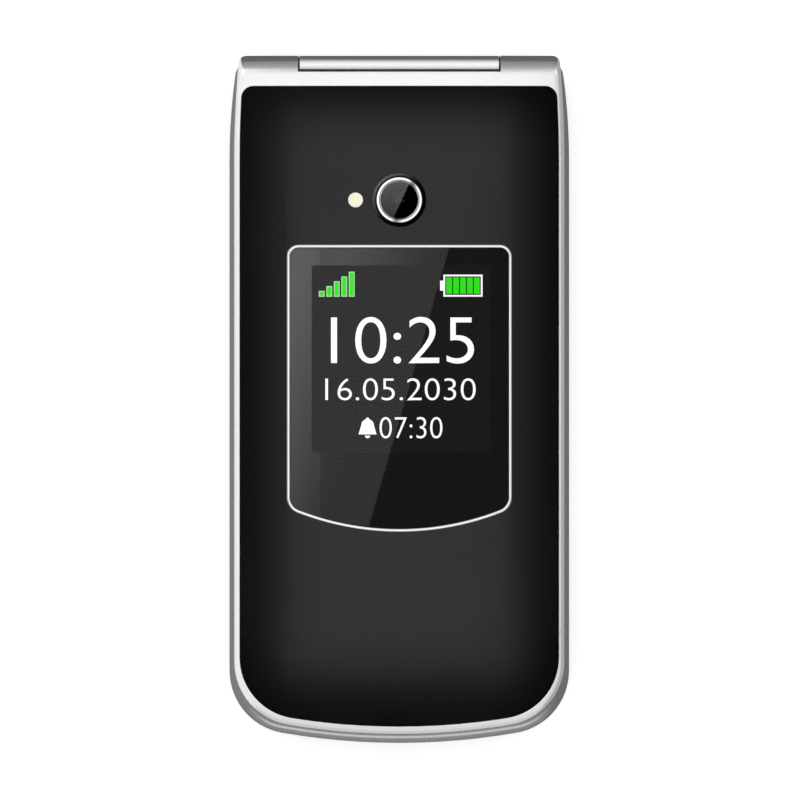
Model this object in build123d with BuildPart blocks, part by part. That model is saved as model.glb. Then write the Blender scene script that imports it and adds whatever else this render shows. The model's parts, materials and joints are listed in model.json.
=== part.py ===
from build123d import *
from math import sqrt
import os

os.makedirs("parts", exist_ok=True)

# Flip phone, closed and lying on its back. All sizes are in millimetres.
# +Y runs to the hinge, +Z out of the lid, and the origin is under the middle of the phone.

# ---- closed phone ----
phone_length = 103.1
base_width = 51.0
base_height = 10.6
rear_height = 4.2  # parting plane between the two halves of the base
lid_gap = 0.4  # air between the closed halves
lid_height = 8.4  # lid at the top of its crown
lid_side_step = 0.8  # how far the base stands proud of the lid at each side
lid_end_step = 1.5  # and at the free end
seat_gap = 0.05  # between pieces that are fitted into each other and stay put

# ---- plan outlines ----
end_arc_radius = 102.0
end_corner_radius = 9.5
taper_length = 15.55  # the sides draw in over this much of the hinge end
base_taper_radius = 94.0
lid_taper_radius = 170.0
base_hinge_corner = 3.0
base_hinge_step = 0.25  # the hinge barrel stands proud of the base's end
base_top_round = 1.5
base_bottom_round = 2.8

# ---- crown of the lid ----
crown_middle_radius = 400.0
crown_middle_angle = 1.7
crown_side_radius = 95.0
crown_side_angle = 10.0
crown_fall_length = 18.55  # from the phone's free end to where the crown starts to fall
crown_free_radius = 110.0
crown_free_angle = 12.0
crown_overrun = 5.0  # the crown tool reaches this far past the lid
lid_rim_round = 1.15
knuckle_round = 3.0
upright_slope = 0.02  # faces that lean less than this count as walls

# ---- hinge ----
hinge_inset = 2.3  # hinge line from the phone's end
hinge_rise = 4.0  # hinge line over the lid's underside
barrel_radius = 2.3
knuckle_band = 10.6  # from the base's side to the barrel
barrel_bore_radius = 1.6
barrel_web = 2.0  # end wall of the barrel that the pin runs in
barrel_clearance = 0.25  # round the barrel
knuckle_gap = 0.3  # at the barrel's ends
neck_front = 2.25  # neck of the barrel, from the hinge line towards the free end
neck_back = 0.4  # and away from it
running_clearance = 0.05
pin_radius = 1.0
pin_length = 8.0
pin_chamfer = 0.15
cam_radius = 0.95
cam_length = 7.5
cam_reach = 2.6  # how far the cam shaft enters its cartridge
cartridge_length = 10.7
cartridge_mouth = 3.0
spring_length = 5.6
spring_thickness = 0.4
chamber_radius = 1.25

# ---- lid ----
lid_wall = 1.6
lid_end_wall = 6.3  # from the phone's hinge end to the hollow of the lid
ledge_width = 2.0  # the front panel rests on this
ledge_thickness = 0.8
panel_depth = 2.6  # from the top of the crown to the underside of the front panel
panel_side_band = 0.8  # silver left round the panel
panel_end_band = 1.1
panel_hinge_band = 4.6
panel_corner = 1.8
panel_end_corner = 9.2
cover_thickness = 1.2
cover_hinge_step = 6.6  # from the phone's hinge end to the cover
hollow_corner = 1.5
hood_edge = 0.15  # edge of the hood over the barrel, from the hinge line

# ---- outer window ----
window_side_band = 7.05  # of the front panel, beside the window
window_land = 6.7  # from the middle of the camera to the window
window_free_band = 31.75  # from the phone's free end to the window
window_end_radius = 42.0
window_top_corner = 1.8
window_end_corner = 2.5
window_depth = 1.5
rim_width = 0.45
outer_display_side_band = 2.15  # of the window, beside the display
outer_display_hinge_band = 1.8
outer_display_free_band = 10.6
outer_holder_margin = 1.2
outer_holder_height = 1.8

# ---- camera and flash ----
camera_from_hinge_end = 21.65
ring_radius = 3.5
ring_width = 0.6
ring_rise = 0.1  # over the crown
ring_height = 2.4
ring_ledge_width = 0.5
ring_ledge_height = 0.8
ring_edge = 0.2
dish_radius = 4.1
dish_depth = 0.35
camera_window_thickness = 0.8
camera_body = 7.4
camera_barrel_radius = 2.2
camera_ring_gap = 0.5  # over the module's body
camera_window_gap = 0.1  # over its barrel
flash_side = -6.55
flash_radius = 1.1
flash_flange_width = 0.5
flash_flange_height = 0.4
flash_led_size = 2.2
flash_led_height = 0.7

# ---- inner screen ----
inner_window_side_band = 4.5  # of the lid, beside the window
inner_window_hinge_band = 23.95  # from the cover's hinge end
inner_window_free_band = 17.05  # from the lid's free end
inner_window_thickness = 0.8
inner_window_corner = 1.5
inner_display_side_band = 1.7
inner_display_end_band = 2.0
inner_display_thickness = 1.6
display_corner = 0.6
display_gap = 0.15  # round a display in its opening
lid_board_thickness = 0.8
lid_board_gap = 0.6
earpiece_from_camera = 8.1
earpiece_length = 12.0
earpiece_width = 6.0
earpiece_height = 2.4
earpiece_flat = 0.2  # straight part of its short sides
slot_count = 5
slot_pitch = 1.7
slot_width = 0.8
slot_length = 3.6
bumper_radius = 1.6
bumper_depth = 0.6
bumper_rise = 0.35
bumper_side_band = 10.7  # from the lid's side
bumper_from_end = 3.6

# ---- base shell ----
base_wall = 1.5
front_top = 1.8  # top wall of the front housing
plate_thickness = 1.0
plate_side_band = 2.9
plate_end_band = 3.6
plate_hinge_band = 7.8
plate_corner = 6.5
plate_hinge_corner = 4.0
plate_ledge = 1.2
rear_floor = 2.0

# ---- keys ----
key_gap = 0.25
key_rise = 0.2
key_travel = 0.3
key_stop = 0.05  # left over the dome when a key is fully down
key_flange_width = 0.5
key_flange_thickness = 0.45
key_edge = 0.3
number_side_band = 2.2  # of the plate, beside the keys
number_free_band = 8.45  # of the plate, at its free end
number_column_land = 1.8
number_row_land = 2.5
number_columns = 3
number_rows = 4
number_key_corner = 2.2
call_key_length = 6.4
call_side_band = 3.0
call_column_land = 3.2
call_row_land = 5.1
call_key_corner = 3.0
soft_key_length = 9.0
soft_key_rise = 5.0  # over the middle of the ring
soft_side_band = 2.5
soft_land = 1.9
soft_key_corner = 2.6
nav_hinge_band = 9.95
nav_row_land = 2.7
nav_radius = 9.8
nav_hole_radius = 5.0
ok_radius = 4.5
nav_dome_radius = 7.4  # circle of the domes under the ring

# ---- side keys ----
side_key_height = 2.2
side_key_depth = 2.2  # under the ceiling of the front housing
side_key_gap = 0.2
side_key_sink = 0.1  # below the side wall
side_key_lip = 1.0
side_key_lip_thickness = 0.6
side_key_lip_gap = 0.3
side_key_edge = 0.5
side_key_bevel = 0.25
volume_key_length = 15.6
volume_key_from_hinge_end = 29.55
camera_key_length = 8.0
camera_key_from_hinge_end = 43.55

# ---- inside the base ----
board_depth = 3.4  # from the base's top face to the board's underside
board_thickness = 1.0
board_inset = 3.4
board_hinge_inset = 2.3
board_corner = 1.0
board_clearance = 0.3  # round bosses and cut-outs
dome_sheet_thickness = 0.2
dome_radius = 2.2
dome_rise = 0.15
sheet_margin = 1.0
battery_side_room = 8.5  # from the base's side
battery_hinge_room = 39.55  # from the phone's hinge end
battery_free_room = 13.55  # from its free end
battery_thickness = 3.5
battery_corner = 1.2
battery_gap = 0.1  # over the cover
bay_gap = 0.3
bay_ceiling = 0.8
bay_headroom = 0.6
bay_wall = 1.0
sim_width = 16.0
sim_length = 17.0
sim_height = 0.5
sim_from_bay_end = 14.3
contact_width = 9.0
contact_depth = 1.9
contact_height = 2.6
contact_lift = 0.9  # over the battery's underside
blade_count = 3
blade_pitch = 2.6
blade_width = 0.8
blade_reach = 0.25
can_side_room = 8.5  # from the base's side
can_hinge_room = 13.55  # from the phone's hinge end
can_land = 1.8  # from the battery's contacts
can_height = 2.0
can_wall = 0.3
can_corner = 1.5
speaker_radius = 7.0
speaker_gap = 0.2  # under the shield can
speaker_side_room = 14.5
speaker_from_hinge_end = 20.55
speaker_slots = 5
speaker_pitch = 2.0
speaker_slot_width = 0.9
speaker_slot_length = 9.0
antenna_side_room = 7.5
antenna_length = 5.5
antenna_gap = 0.4  # under the board
antenna_from_hinge_end = 6.55
antenna_corner = 2.0
microphone_radius = 2.0
microphone_side_room = 16.5
microphone_from_end = 8.0
microphone_height = 1.3
microphone_hole = 0.5
motor_radius = 1.9
motor_length = 8.0
motor_side_room = 18.5
motor_from_end = 7.6
motor_seat = 0.3  # cradle under the motor
motor_cradle = 0.8  # height of its cheeks
motor_shaft_depth = 2.4
motor_shaft_radius = 0.4
weight_radius = 1.7
weight_length = 2.6
weight_gap = 0.4
socket_width = 7.6
socket_height = 2.5
socket_length = 5.2
socket_wall = 0.3
socket_corner = 0.8
socket_sink = 0.4
socket_gap = 0.1
socket_tongue_width = 3.8
socket_tongue = 0.6
flex_width = 4.6
flex_thickness = 0.2
flex_land = 1.7  # from the hinge cartridge
flex_gap = 0.15
flex_roll_radius = 1.45
flex_roll_length = 9.0

# ---- battery cover ----
cover_side_room = 6.5  # from the base's side
cover_lap = 3.7  # over the end of the battery bay
cover_depth = 1.0
cover_gap = 0.2
cover_lift = 0.1
thumb_radius = 6.0
thumb_depth = 0.3
thumb_from_edge = 9.0

# ---- screws ----
screw_radius = 0.7
screw_head_radius = 1.4
screw_head_height = 0.8
screw_head_sink = 0.4  # head below the face that it is driven from
screw_head_gap = 0.1
screw_tip_gap = 0.3
base_screw_length = 6.0
base_boss_radius = 2.55
base_screw_side_room = 4.0
base_screw_free_room = 7.55
base_screw_hinge_room = 10.05
lid_screw_length = 3.0
lid_boss_radius = 2.4
lid_screw_side_room = 3.7
lid_screw_free_room = 10.05
lid_screw_hinge_room = 10.55
lid_head_sink = 0.1

# ---- levels worked out from the sizes ----
lid_bottom = base_height + lid_gap
lid_top = lid_bottom + lid_height
hinge_height = lid_bottom + hinge_rise
panel_level = lid_top - panel_depth
ledge_level = panel_level - ledge_thickness
window_level = lid_top - window_depth
cover_level = lid_bottom + cover_thickness
plate_level = base_height - plate_thickness
front_ceiling = base_height - front_top
board_level = base_height - board_depth
board_top = board_level + board_thickness
sheet_top = board_top + dome_sheet_thickness
key_bottom = sheet_top + dome_rise + key_travel + key_stop
key_top = base_height + key_rise
side_key_level = front_ceiling - side_key_depth
lid_board_top = lid_bottom + inner_window_thickness + inner_display_thickness + lid_board_thickness
ring_bottom = lid_top + ring_rise - ring_height
camera_body_top = ring_bottom - camera_ring_gap
camera_barrel_top = ring_bottom + ring_ledge_height - camera_window_gap
battery_level = cover_depth + cover_lift + battery_gap
bay_top = battery_level + battery_thickness + bay_headroom
contact_level = battery_level + contact_lift
can_level = board_level - can_height
motor_level = rear_floor + motor_seat + motor_radius
socket_level = board_level - socket_height / 2
screw_tip = screw_head_sink + screw_head_height + base_screw_length

# ---- places along the phone ----
hinge_end = phone_length / 2
free_end = -phone_length / 2
base_hinge = hinge_end - base_hinge_step
hinge_y = hinge_end - hinge_inset
lid_end = free_end + lid_end_step
taper_start = hinge_end - taper_length
crown_fall_start = free_end + crown_fall_length
hollow_hinge = hinge_end - lid_end_wall
cover_hinge = hinge_end - cover_hinge_step
panel_hinge = hinge_end - panel_hinge_band
camera_y = hinge_end - camera_from_hinge_end
window_top = camera_y - window_land
window_end = free_end + window_free_band
outer_display_ends = (window_end + outer_display_free_band, window_top - outer_display_hinge_band)
inner_window_ends = (lid_end + inner_window_free_band, cover_hinge - inner_window_hinge_band)
earpiece_y = camera_y + earpiece_from_camera
plate_free = free_end + plate_end_band
plate_hinge = hinge_end - plate_hinge_band
nav_y = plate_hinge - nav_hinge_band - nav_radius
soft_key_y = nav_y + soft_key_rise
call_key_y = nav_y - nav_radius - nav_row_land - call_key_length / 2
number_hinge = call_key_y - call_key_length / 2 - call_row_land
number_free = plate_free + number_free_band
number_pitch_y = (number_hinge - number_free + number_row_land) / number_rows
number_key_length = number_pitch_y - number_row_land
battery_ends = (free_end + battery_free_room, hinge_end - battery_hinge_room)
bay_end = battery_ends[1] + bay_gap
sim_y = bay_end - sim_from_bay_end
cover_top = bay_end + cover_lap
thumb_y = cover_top - thumb_from_edge
can_ends = (bay_end + contact_depth + can_land, hinge_end - can_hinge_room)
speaker_y = hinge_end - speaker_from_hinge_end
antenna_y = hinge_end - antenna_from_hinge_end
motor_y = free_end + motor_from_end
volume_key_y = hinge_end - volume_key_from_hinge_end
camera_key_y = hinge_end - camera_key_from_hinge_end

# ---- places across the phone ----
base_half = base_width / 2
lid_half = base_half - lid_side_step
panel_half = lid_half - panel_side_band
plate_half = base_half - plate_side_band
window_half = panel_half - window_side_band
outer_display_half = window_half - outer_display_side_band
inner_window_half = lid_half - inner_window_side_band
inner_display_half = inner_window_half - inner_display_side_band
number_pitch_x = (2 * (plate_half - number_side_band) + number_column_land) / number_columns
number_key_width = number_pitch_x - number_column_land
call_key_width = plate_half - call_side_band - call_column_land / 2
call_key_x = (call_column_land + call_key_width) / 2
soft_key_width = plate_half - soft_side_band - nav_radius - soft_land
soft_key_x = plate_half - soft_side_band - soft_key_width / 2
battery_half = base_half - battery_side_room
can_half = base_half - can_side_room
cover_half = base_half - cover_side_room
antenna_half = base_half - antenna_side_room
motor_x = base_half - motor_side_room
barrel_half_length = base_half - knuckle_band
notch_half = barrel_half_length + knuckle_gap
pin_start = barrel_half_length - barrel_web
cam_start = barrel_half_length - cam_reach
flex_x = cartridge_length - barrel_half_length + flex_land + flex_roll_length / 2
hood_radius = barrel_radius + barrel_clearance
window_bore = ring_radius - ring_width

camera_at = (0, camera_y)
flash_at = (flash_side, camera_y)
nav_at = (0, nav_y)
speaker_at = (base_half - speaker_side_room, speaker_y)
microphone_at = (microphone_side_room - base_half, free_end + microphone_from_end)
bumper_places = [(side * (lid_half - bumper_side_band), lid_end + bumper_from_end) for side in (-1, 1)]
lid_screw_places = [
    (side * (lid_half - lid_screw_side_room), along)
    for side in (-1, 1)
    for along in (lid_end + lid_screw_free_room, hinge_end - lid_screw_hinge_room)
]
base_screw_places = [
    (side * (base_half - base_screw_side_room), along)
    for side in (-1, 1)
    for along in (free_end + base_screw_free_room, hinge_end - base_screw_hinge_room)
]


# ---------------------------------------------------------------- shared outlines
def shell_plan(half_width, end_y, hinge_side_y, taper_radius, end_corner, hinge_corner):
    """Plan outline of a shell: curved free end, straight sides that draw in to the hinge."""
    end_drop = end_arc_radius - sqrt(end_arc_radius**2 - half_width**2)
    taper_drop = taper_radius - sqrt(taper_radius**2 - (hinge_side_y - taper_start) ** 2)
    corner = (half_width, end_y + end_drop)
    shoulder = (half_width, taper_start)
    top = (half_width - taper_drop, hinge_side_y)
    with BuildSketch() as plan:
        with BuildLine():
            Line(shoulder, corner)
            ThreePointArc(corner, (0, end_y), (-corner[0], corner[1]))
            Line((-corner[0], corner[1]), (-shoulder[0], shoulder[1]))
            TangentArc((-shoulder[0], shoulder[1]), (-top[0], top[1]), tangent=(0, 1))
            Line((-top[0], top[1]), top)
            TangentArc(shoulder, top, tangent=(0, 1))
        make_face()
        fillet(plan.vertices().sort_by(Axis.Y)[:2], end_corner)
        if hinge_corner:
            fillet(plan.vertices().sort_by(Axis.Y)[-2:], hinge_corner)
    return plan.sketch


def inset(plan, amount):
    """The same outline, drawn in all round."""
    with BuildSketch() as smaller:
        add(plan)
        offset(amount=-amount)
    return smaller.sketch


def grown(plan, amount):
    """The same outline, let out all round with its corners kept square or round."""
    return inset(plan, -amount)


def pill(width, length, corner, middle=(0, 0)):
    """Rounded rectangle about a place."""
    with BuildSketch() as plan:
        with Locations(middle):
            RectangleRounded(width, length, corner)
    return plan.sketch


def strip(half_width, ends, corner):
    """Rounded rectangle across the middle of the phone, between two places along it."""
    return pill(2 * half_width, ends[1] - ends[0], corner, (0, sum(ends) / 2))


def disc(radius, middle=(0, 0)):
    """Round outline about a place."""
    with BuildSketch() as plan:
        with Locations(middle):
            Circle(radius)
    return plan.sketch


base_plan = shell_plan(base_half, free_end, base_hinge, base_taper_radius, end_corner_radius, base_hinge_corner)
lid_plan = shell_plan(lid_half, lid_end, hinge_end, lid_taper_radius, end_corner_radius, 0)
panel_plan = shell_plan(
    panel_half,
    lid_end + panel_end_band,
    panel_hinge,
    lid_taper_radius,
    panel_end_corner,
    panel_corner,
)
plate_plan = shell_plan(
    plate_half,
    plate_free,
    plate_hinge,
    base_taper_radius,
    plate_corner,
    plate_hinge_corner,
)

# ---------------------------------------------------------------- lid form
# The crown is one section, run along a rail that is straight at first and falls at the free end.
with BuildLine(Plane.YZ) as crown_rail:
    straight = Line((hinge_end + crown_overrun, lid_top), (crown_fall_start, lid_top))
    JernArc(
        start=straight @ 1,
        tangent=straight % 1,
        radius=crown_free_radius,
        arc_size=crown_free_angle,
    )

crown_start = Plane(origin=straight @ 0, x_dir=(1, 0, 0), z_dir=straight % 0)
with BuildPart() as crown:
    with BuildSketch(crown_start):
        with BuildLine():
            middle = CenterArc(
                (0, -crown_middle_radius), crown_middle_radius, 90 - crown_middle_angle, 2 * crown_middle_angle
            )
            right = JernArc(
                start=middle @ 0,
                tangent=-(middle % 0),
                radius=crown_side_radius,
                arc_size=-crown_side_angle,
            )
            left = JernArc(
                start=middle @ 1, tangent=middle % 1, radius=crown_side_radius, arc_size=crown_side_angle
            )
            depth = lid_height + crown_overrun
            Polyline(right @ 1, ((right @ 1).X, -depth), ((left @ 1).X, -depth), left @ 1)
        make_face()
    sweep(path=crown_rail.wires()[0])

with BuildPart() as lid_form:
    with BuildSketch(Plane.XY.offset(lid_bottom)):
        add(lid_plan)
    extrude(amount=lid_height + crown_overrun)
    add(crown.part, mode=Mode.INTERSECT)
    upright = lid_form.faces().filter_by(lambda face: abs(face.normal_at(face.center()).Z) < upright_slope)
    hinge_face = upright.sort_by(Axis.Y)[-1]
    fillet(hinge_face.edges().filter_by(Axis.Z, reverse=True), knuckle_round)
    upright = lid_form.faces().filter_by(lambda face: abs(face.normal_at(face.center()).Z) < upright_slope)
    walls = upright.sort_by(Axis.Y)[:-1]
    hinge_face = upright.sort_by(Axis.Y)[-1]
    fillet(walls.edges().filter_by(Axis.Z, reverse=True) + hinge_face.edges().filter_by(Axis.Z), lid_rim_round)

# ---------------------------------------------------------------- plans used by more than one piece
hollow_plan = shell_plan(
    lid_half - lid_wall,
    lid_end + lid_wall,
    hollow_hinge,
    lid_taper_radius,
    end_corner_radius - lid_wall,
    hollow_corner,
)
inner_window_plan = strip(inner_window_half, inner_window_ends, inner_window_corner)
inner_display_ends = (inner_window_ends[0] + inner_display_end_band, inner_window_ends[1] - inner_display_end_band)
inner_display_plan = strip(inner_display_half, inner_display_ends, display_corner)
outer_display_plan = strip(outer_display_half, outer_display_ends, display_corner)
earpiece_plan = pill(earpiece_length, earpiece_width, (earpiece_width - earpiece_flat) / 2, (0, earpiece_y))

with BuildSketch() as window_sketch:
    window_drop = window_end_radius - sqrt(window_end_radius**2 - window_half**2)
    with BuildLine():
        sides = Polyline(
            (window_half, window_end + window_drop),
            (window_half, window_top),
            (-window_half, window_top),
            (-window_half, window_end + window_drop),
        )
        ThreePointArc(sides @ 1, (0, window_end), sides @ 0)
    make_face()
    fillet(window_sketch.vertices().sort_by(Axis.Y)[-2:], window_top_corner)
    fillet(window_sketch.vertices().sort_by(Axis.Y)[:2], window_end_corner)
window_plan = window_sketch.sketch

# ---------------------------------------------------------------- lid frame
panel_seat_plan = grown(panel_plan, seat_gap)
ledge_plan = inset(hollow_plan, ledge_width)

with BuildPart() as lid_frame:
    add(lid_form.part)
    with BuildSketch(Plane.XY.offset(panel_level)):
        add(panel_seat_plan)
    extrude(amount=lid_height, mode=Mode.SUBTRACT)
    with BuildSketch(Plane.XY.offset(lid_bottom)):
        add(hollow_plan)
    extrude(amount=ledge_level - lid_bottom, mode=Mode.SUBTRACT)
    with BuildSketch(Plane.XY.offset(ledge_level)):
        add(ledge_plan)
    extrude(amount=ledge_thickness, mode=Mode.SUBTRACT)
    # the inner cover takes the place of the frame's free side up to here
    with BuildSketch(Plane.XY.offset(lid_bottom)):
        with Locations((0, cover_hinge + seat_gap)):
            Rectangle(base_width, phone_length, align=(Align.CENTER, Align.MAX))
    extrude(amount=cover_thickness, mode=Mode.SUBTRACT)
    # bosses under the ledge
    with BuildSketch(Plane.XY.offset(cover_level)):
        with Locations(lid_screw_places):
            Circle(lid_boss_radius)
        add(lid_plan, mode=Mode.INTERSECT)
    extrude(amount=ledge_level - cover_level)
    with BuildSketch(Plane.XY.offset(cover_level)):
        with Locations(lid_screw_places):
            Circle(screw_radius + seat_gap)
    extrude(amount=lid_screw_length, mode=Mode.SUBTRACT)
    # room for the barrel, with a hood left over it
    with BuildSketch(Plane.YZ):
        with Locations((hinge_y, hinge_height)):
            Circle(hood_radius)
        with Locations((hinge_y - hood_radius, hinge_height)):
            Rectangle(phone_length, lid_height, align=(Align.MIN, Align.MAX))
        with Locations((hinge_y - hood_edge, hinge_height)):
            Rectangle(phone_length, lid_height, align=(Align.MIN, Align.MIN))
    extrude(amount=notch_half, both=True, mode=Mode.SUBTRACT)
    # holes for the pin in one knuckle and the cam shaft in the other
    with BuildSketch(Plane.YZ.offset(notch_half)):
        with Locations((hinge_y, hinge_height)):
            Circle(pin_radius + seat_gap)
    extrude(amount=pin_start + pin_length - notch_half, mode=Mode.SUBTRACT)
    with BuildSketch(Plane.YZ.offset(-notch_half)):
        with Locations((hinge_y, hinge_height)):
            Circle(cam_radius + seat_gap)
    extrude(amount=-(cam_length + cam_start - notch_half), mode=Mode.SUBTRACT)
lid_frame.part.label = "lid_frame"
export_step(lid_frame.part, "parts/lid_frame.step")

with BuildPart() as lid_front_panel:
    with BuildSketch(Plane.XY.offset(panel_level)):
        add(panel_plan)
    extrude(amount=lid_height)
    add(crown.part, mode=Mode.INTERSECT)
    with BuildSketch(Plane.XY.offset(window_level)):
        add(grown(window_plan, seat_gap))
    extrude(amount=lid_height, mode=Mode.SUBTRACT)
    with BuildSketch(Plane.XY.offset(panel_level)):
        add(grown(outer_display_plan, display_gap))
        with Locations(camera_at):
            Circle(ring_radius + seat_gap)
        with Locations(flash_at):
            Circle(flash_radius + seat_gap)
    extrude(amount=lid_height, mode=Mode.SUBTRACT)
    # shallow dish round the camera ring
    with Locations((*camera_at, lid_top - dish_depth)):
        Cone(
            ring_radius + seat_gap,
            dish_radius,
            dish_depth,
            align=(Align.CENTER, Align.CENTER, Align.MIN),
            mode=Mode.SUBTRACT,
        )
lid_front_panel.part.label = "lid_front_panel"
export_step(lid_front_panel.part, "parts/lid_front_panel.step")

with BuildPart() as window_rim:
    with BuildSketch(Plane.XY.offset(window_level)):
        add(window_plan)
        add(inset(window_plan, rim_width), mode=Mode.SUBTRACT)
    extrude(amount=lid_height)
    add(crown.part, mode=Mode.INTERSECT)
window_rim.part.label = "window_rim"
export_step(window_rim.part, "parts/window_rim.step")

with BuildPart() as outer_window:
    with BuildSketch(Plane.XY.offset(window_level)):
        add(inset(window_plan, rim_width + seat_gap))
    extrude(amount=lid_height)
    add(crown.part, mode=Mode.INTERSECT)
outer_window.part.label = "outer_window"
export_step(outer_window.part, "parts/outer_window.step")

with BuildPart() as outer_display:
    with BuildSketch(Plane.XY.offset(lid_board_top)):
        add(grown(outer_display_plan, outer_holder_margin))
    extrude(amount=outer_holder_height)
    with BuildSketch(Plane.XY.offset(lid_board_top + outer_holder_height)):
        add(outer_display_plan)
    extrude(amount=window_level - lid_board_top - outer_holder_height)
outer_display.part.label = "outer_display"
export_step(outer_display.part, "parts/outer_display.step")

# ---------------------------------------------------------------- camera and flash
with BuildPart() as camera_ring:
    with BuildSketch(Plane.XY.offset(ring_bottom)):
        add(disc(ring_radius, camera_at))
        add(disc(window_bore - ring_ledge_width, camera_at), mode=Mode.SUBTRACT)
    extrude(amount=ring_ledge_height)
    with BuildSketch(Plane.XY.offset(ring_bottom + ring_ledge_height)):
        add(disc(ring_radius, camera_at))
        add(disc(window_bore, camera_at), mode=Mode.SUBTRACT)
    extrude(amount=ring_height - ring_ledge_height)
    chamfer(camera_ring.faces().sort_by(Axis.Z)[-1].edges(), ring_edge)
camera_ring.part.label = "camera_ring"
export_step(camera_ring.part, "parts/camera_ring.step")

with BuildPart() as camera_window:
    with BuildSketch(Plane.XY.offset(ring_bottom + ring_ledge_height)):
        add(disc(window_bore - seat_gap, camera_at))
    extrude(amount=camera_window_thickness)
camera_window.part.label = "camera_window"
export_step(camera_window.part, "parts/camera_window.step")

with BuildPart() as camera_module:
    with BuildSketch(Plane.XY.offset(lid_board_top)):
        with Locations(camera_at):
            Rectangle(camera_body, camera_body)
    extrude(amount=camera_body_top - lid_board_top)
    with BuildSketch(Plane.XY.offset(camera_body_top)):
        add(disc(camera_barrel_radius, camera_at))
    extrude(amount=camera_barrel_top - camera_body_top)
camera_module.part.label = "camera_module"
export_step(camera_module.part, "parts/camera_module.step")

with BuildPart() as flash_lens:
    with BuildSketch(Plane.XY.offset(panel_level - flash_flange_height)):
        add(disc(flash_radius + flash_flange_width, flash_at))
    extrude(amount=flash_flange_height)
    with BuildSketch(Plane.XY.offset(panel_level)):
        add(disc(flash_radius, flash_at))
    extrude(amount=lid_height)
    add(crown.part, mode=Mode.INTERSECT)
flash_lens.part.label = "flash_lens"
export_step(flash_lens.part, "parts/flash_lens.step")

with BuildPart() as flash_led:
    with BuildSketch(Plane.XY.offset(lid_board_top)):
        with Locations(flash_at):
            Rectangle(flash_led_size, flash_led_size)
    extrude(amount=flash_led_height)
flash_led.part.label = "flash_led"
export_step(flash_led.part, "parts/flash_led.step")

# ---------------------------------------------------------------- inner side of the lid
with BuildPart() as lid_inner_cover:
    add(lid_form.part)
    with BuildSketch(Plane.XY.offset(lid_bottom)):
        with Locations((0, cover_hinge)):
            Rectangle(base_width, phone_length, align=(Align.CENTER, Align.MAX))
    extrude(amount=cover_thickness, mode=Mode.INTERSECT)
    with BuildSketch(Plane.XY.offset(lid_bottom)):
        add(grown(inner_window_plan, seat_gap))
    extrude(amount=inner_window_thickness, mode=Mode.SUBTRACT)
    with BuildSketch(Plane.XY.offset(lid_bottom)):
        add(grown(inner_display_plan, display_gap))
        with Locations((0, earpiece_y)):
            with GridLocations(slot_pitch, 0, slot_count, 1):
                SlotOverall(slot_length, slot_width, rotation=90)
        with Locations(lid_screw_places):
            Circle(screw_radius + seat_gap)
    extrude(amount=cover_thickness, mode=Mode.SUBTRACT)
    with BuildSketch(Plane.XY.offset(lid_bottom)):
        with Locations(lid_screw_places):
            Circle(screw_head_radius + screw_head_gap)
    extrude(amount=lid_head_sink + screw_head_height, mode=Mode.SUBTRACT)
    with BuildSketch(Plane.XY.offset(lid_bottom)):
        with Locations(bumper_places):
            Circle(bumper_radius + seat_gap)
    extrude(amount=bumper_depth, mode=Mode.SUBTRACT)
lid_inner_cover.part.label = "lid_inner_cover"
export_step(lid_inner_cover.part, "parts/lid_inner_cover.step")

with BuildPart() as inner_window:
    with BuildSketch(Plane.XY.offset(lid_bottom)):
        add(inner_window_plan)
    extrude(amount=inner_window_thickness)
inner_window.part.label = "inner_window"
export_step(inner_window.part, "parts/inner_window.step")

with BuildPart() as inner_display:
    with BuildSketch(Plane.XY.offset(lid_bottom + inner_window_thickness)):
        add(inner_display_plan)
    extrude(amount=inner_display_thickness)
inner_display.part.label = "inner_display"
export_step(inner_display.part, "parts/inner_display.step")

with BuildPart() as lid_circuit_board:
    with BuildSketch(Plane.XY.offset(lid_board_top - lid_board_thickness)):
        add(inset(hollow_plan, lid_board_gap))
        add(grown(earpiece_plan, board_clearance), mode=Mode.SUBTRACT)
        with Locations(lid_screw_places):
            Circle(lid_boss_radius + board_clearance, mode=Mode.SUBTRACT)
    extrude(amount=lid_board_thickness)
lid_circuit_board.part.label = "lid_circuit_board"
export_step(lid_circuit_board.part, "parts/lid_circuit_board.step")

with BuildPart() as earpiece:
    with BuildSketch(Plane.XY.offset(cover_level)):
        add(earpiece_plan)
    extrude(amount=earpiece_height)
earpiece.part.label = "earpiece"
export_step(earpiece.part, "parts/earpiece.step")

with BuildPart() as lid_bumpers:
    with BuildSketch(Plane.XY.offset(lid_bottom - bumper_rise)):
        with Locations(bumper_places):
            Circle(bumper_radius)
    extrude(amount=bumper_rise + bumper_depth)
lid_bumpers.part.label = "lid_bumpers"
export_step(lid_bumpers.part, "parts/lid_bumpers.step")

with BuildPart() as lid_screws:
    with BuildSketch(Plane.XY.offset(lid_bottom + lid_head_sink)):
        with Locations(lid_screw_places):
            Circle(screw_head_radius)
    extrude(amount=screw_head_height)
    with BuildSketch(Plane.XY.offset(lid_bottom + lid_head_sink + screw_head_height)):
        with Locations(lid_screw_places):
            Circle(screw_radius)
    extrude(amount=lid_screw_length)
lid_screws.part.label = "lid_screws"
export_step(lid_screws.part, "parts/lid_screws.step")

# ---------------------------------------------------------------- hinge
with BuildPart() as hinge_pin:
    with BuildSketch(Plane.YZ.offset(pin_start)):
        with Locations((hinge_y, hinge_height)):
            Circle(pin_radius)
    extrude(amount=pin_length)
    chamfer(hinge_pin.edges().filter_by(GeomType.CIRCLE), pin_chamfer)
hinge_pin.part.label = "hinge_pin"
export_step(hinge_pin.part, "parts/hinge_pin.step")

with BuildPart() as hinge_cam:
    with BuildSketch(Plane.YZ.offset(-cam_start)):
        with Locations((hinge_y, hinge_height)):
            Circle(cam_radius)
    extrude(amount=-cam_length)
hinge_cam.part.label = "hinge_cam"
export_step(hinge_cam.part, "parts/hinge_cam.step")

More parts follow.
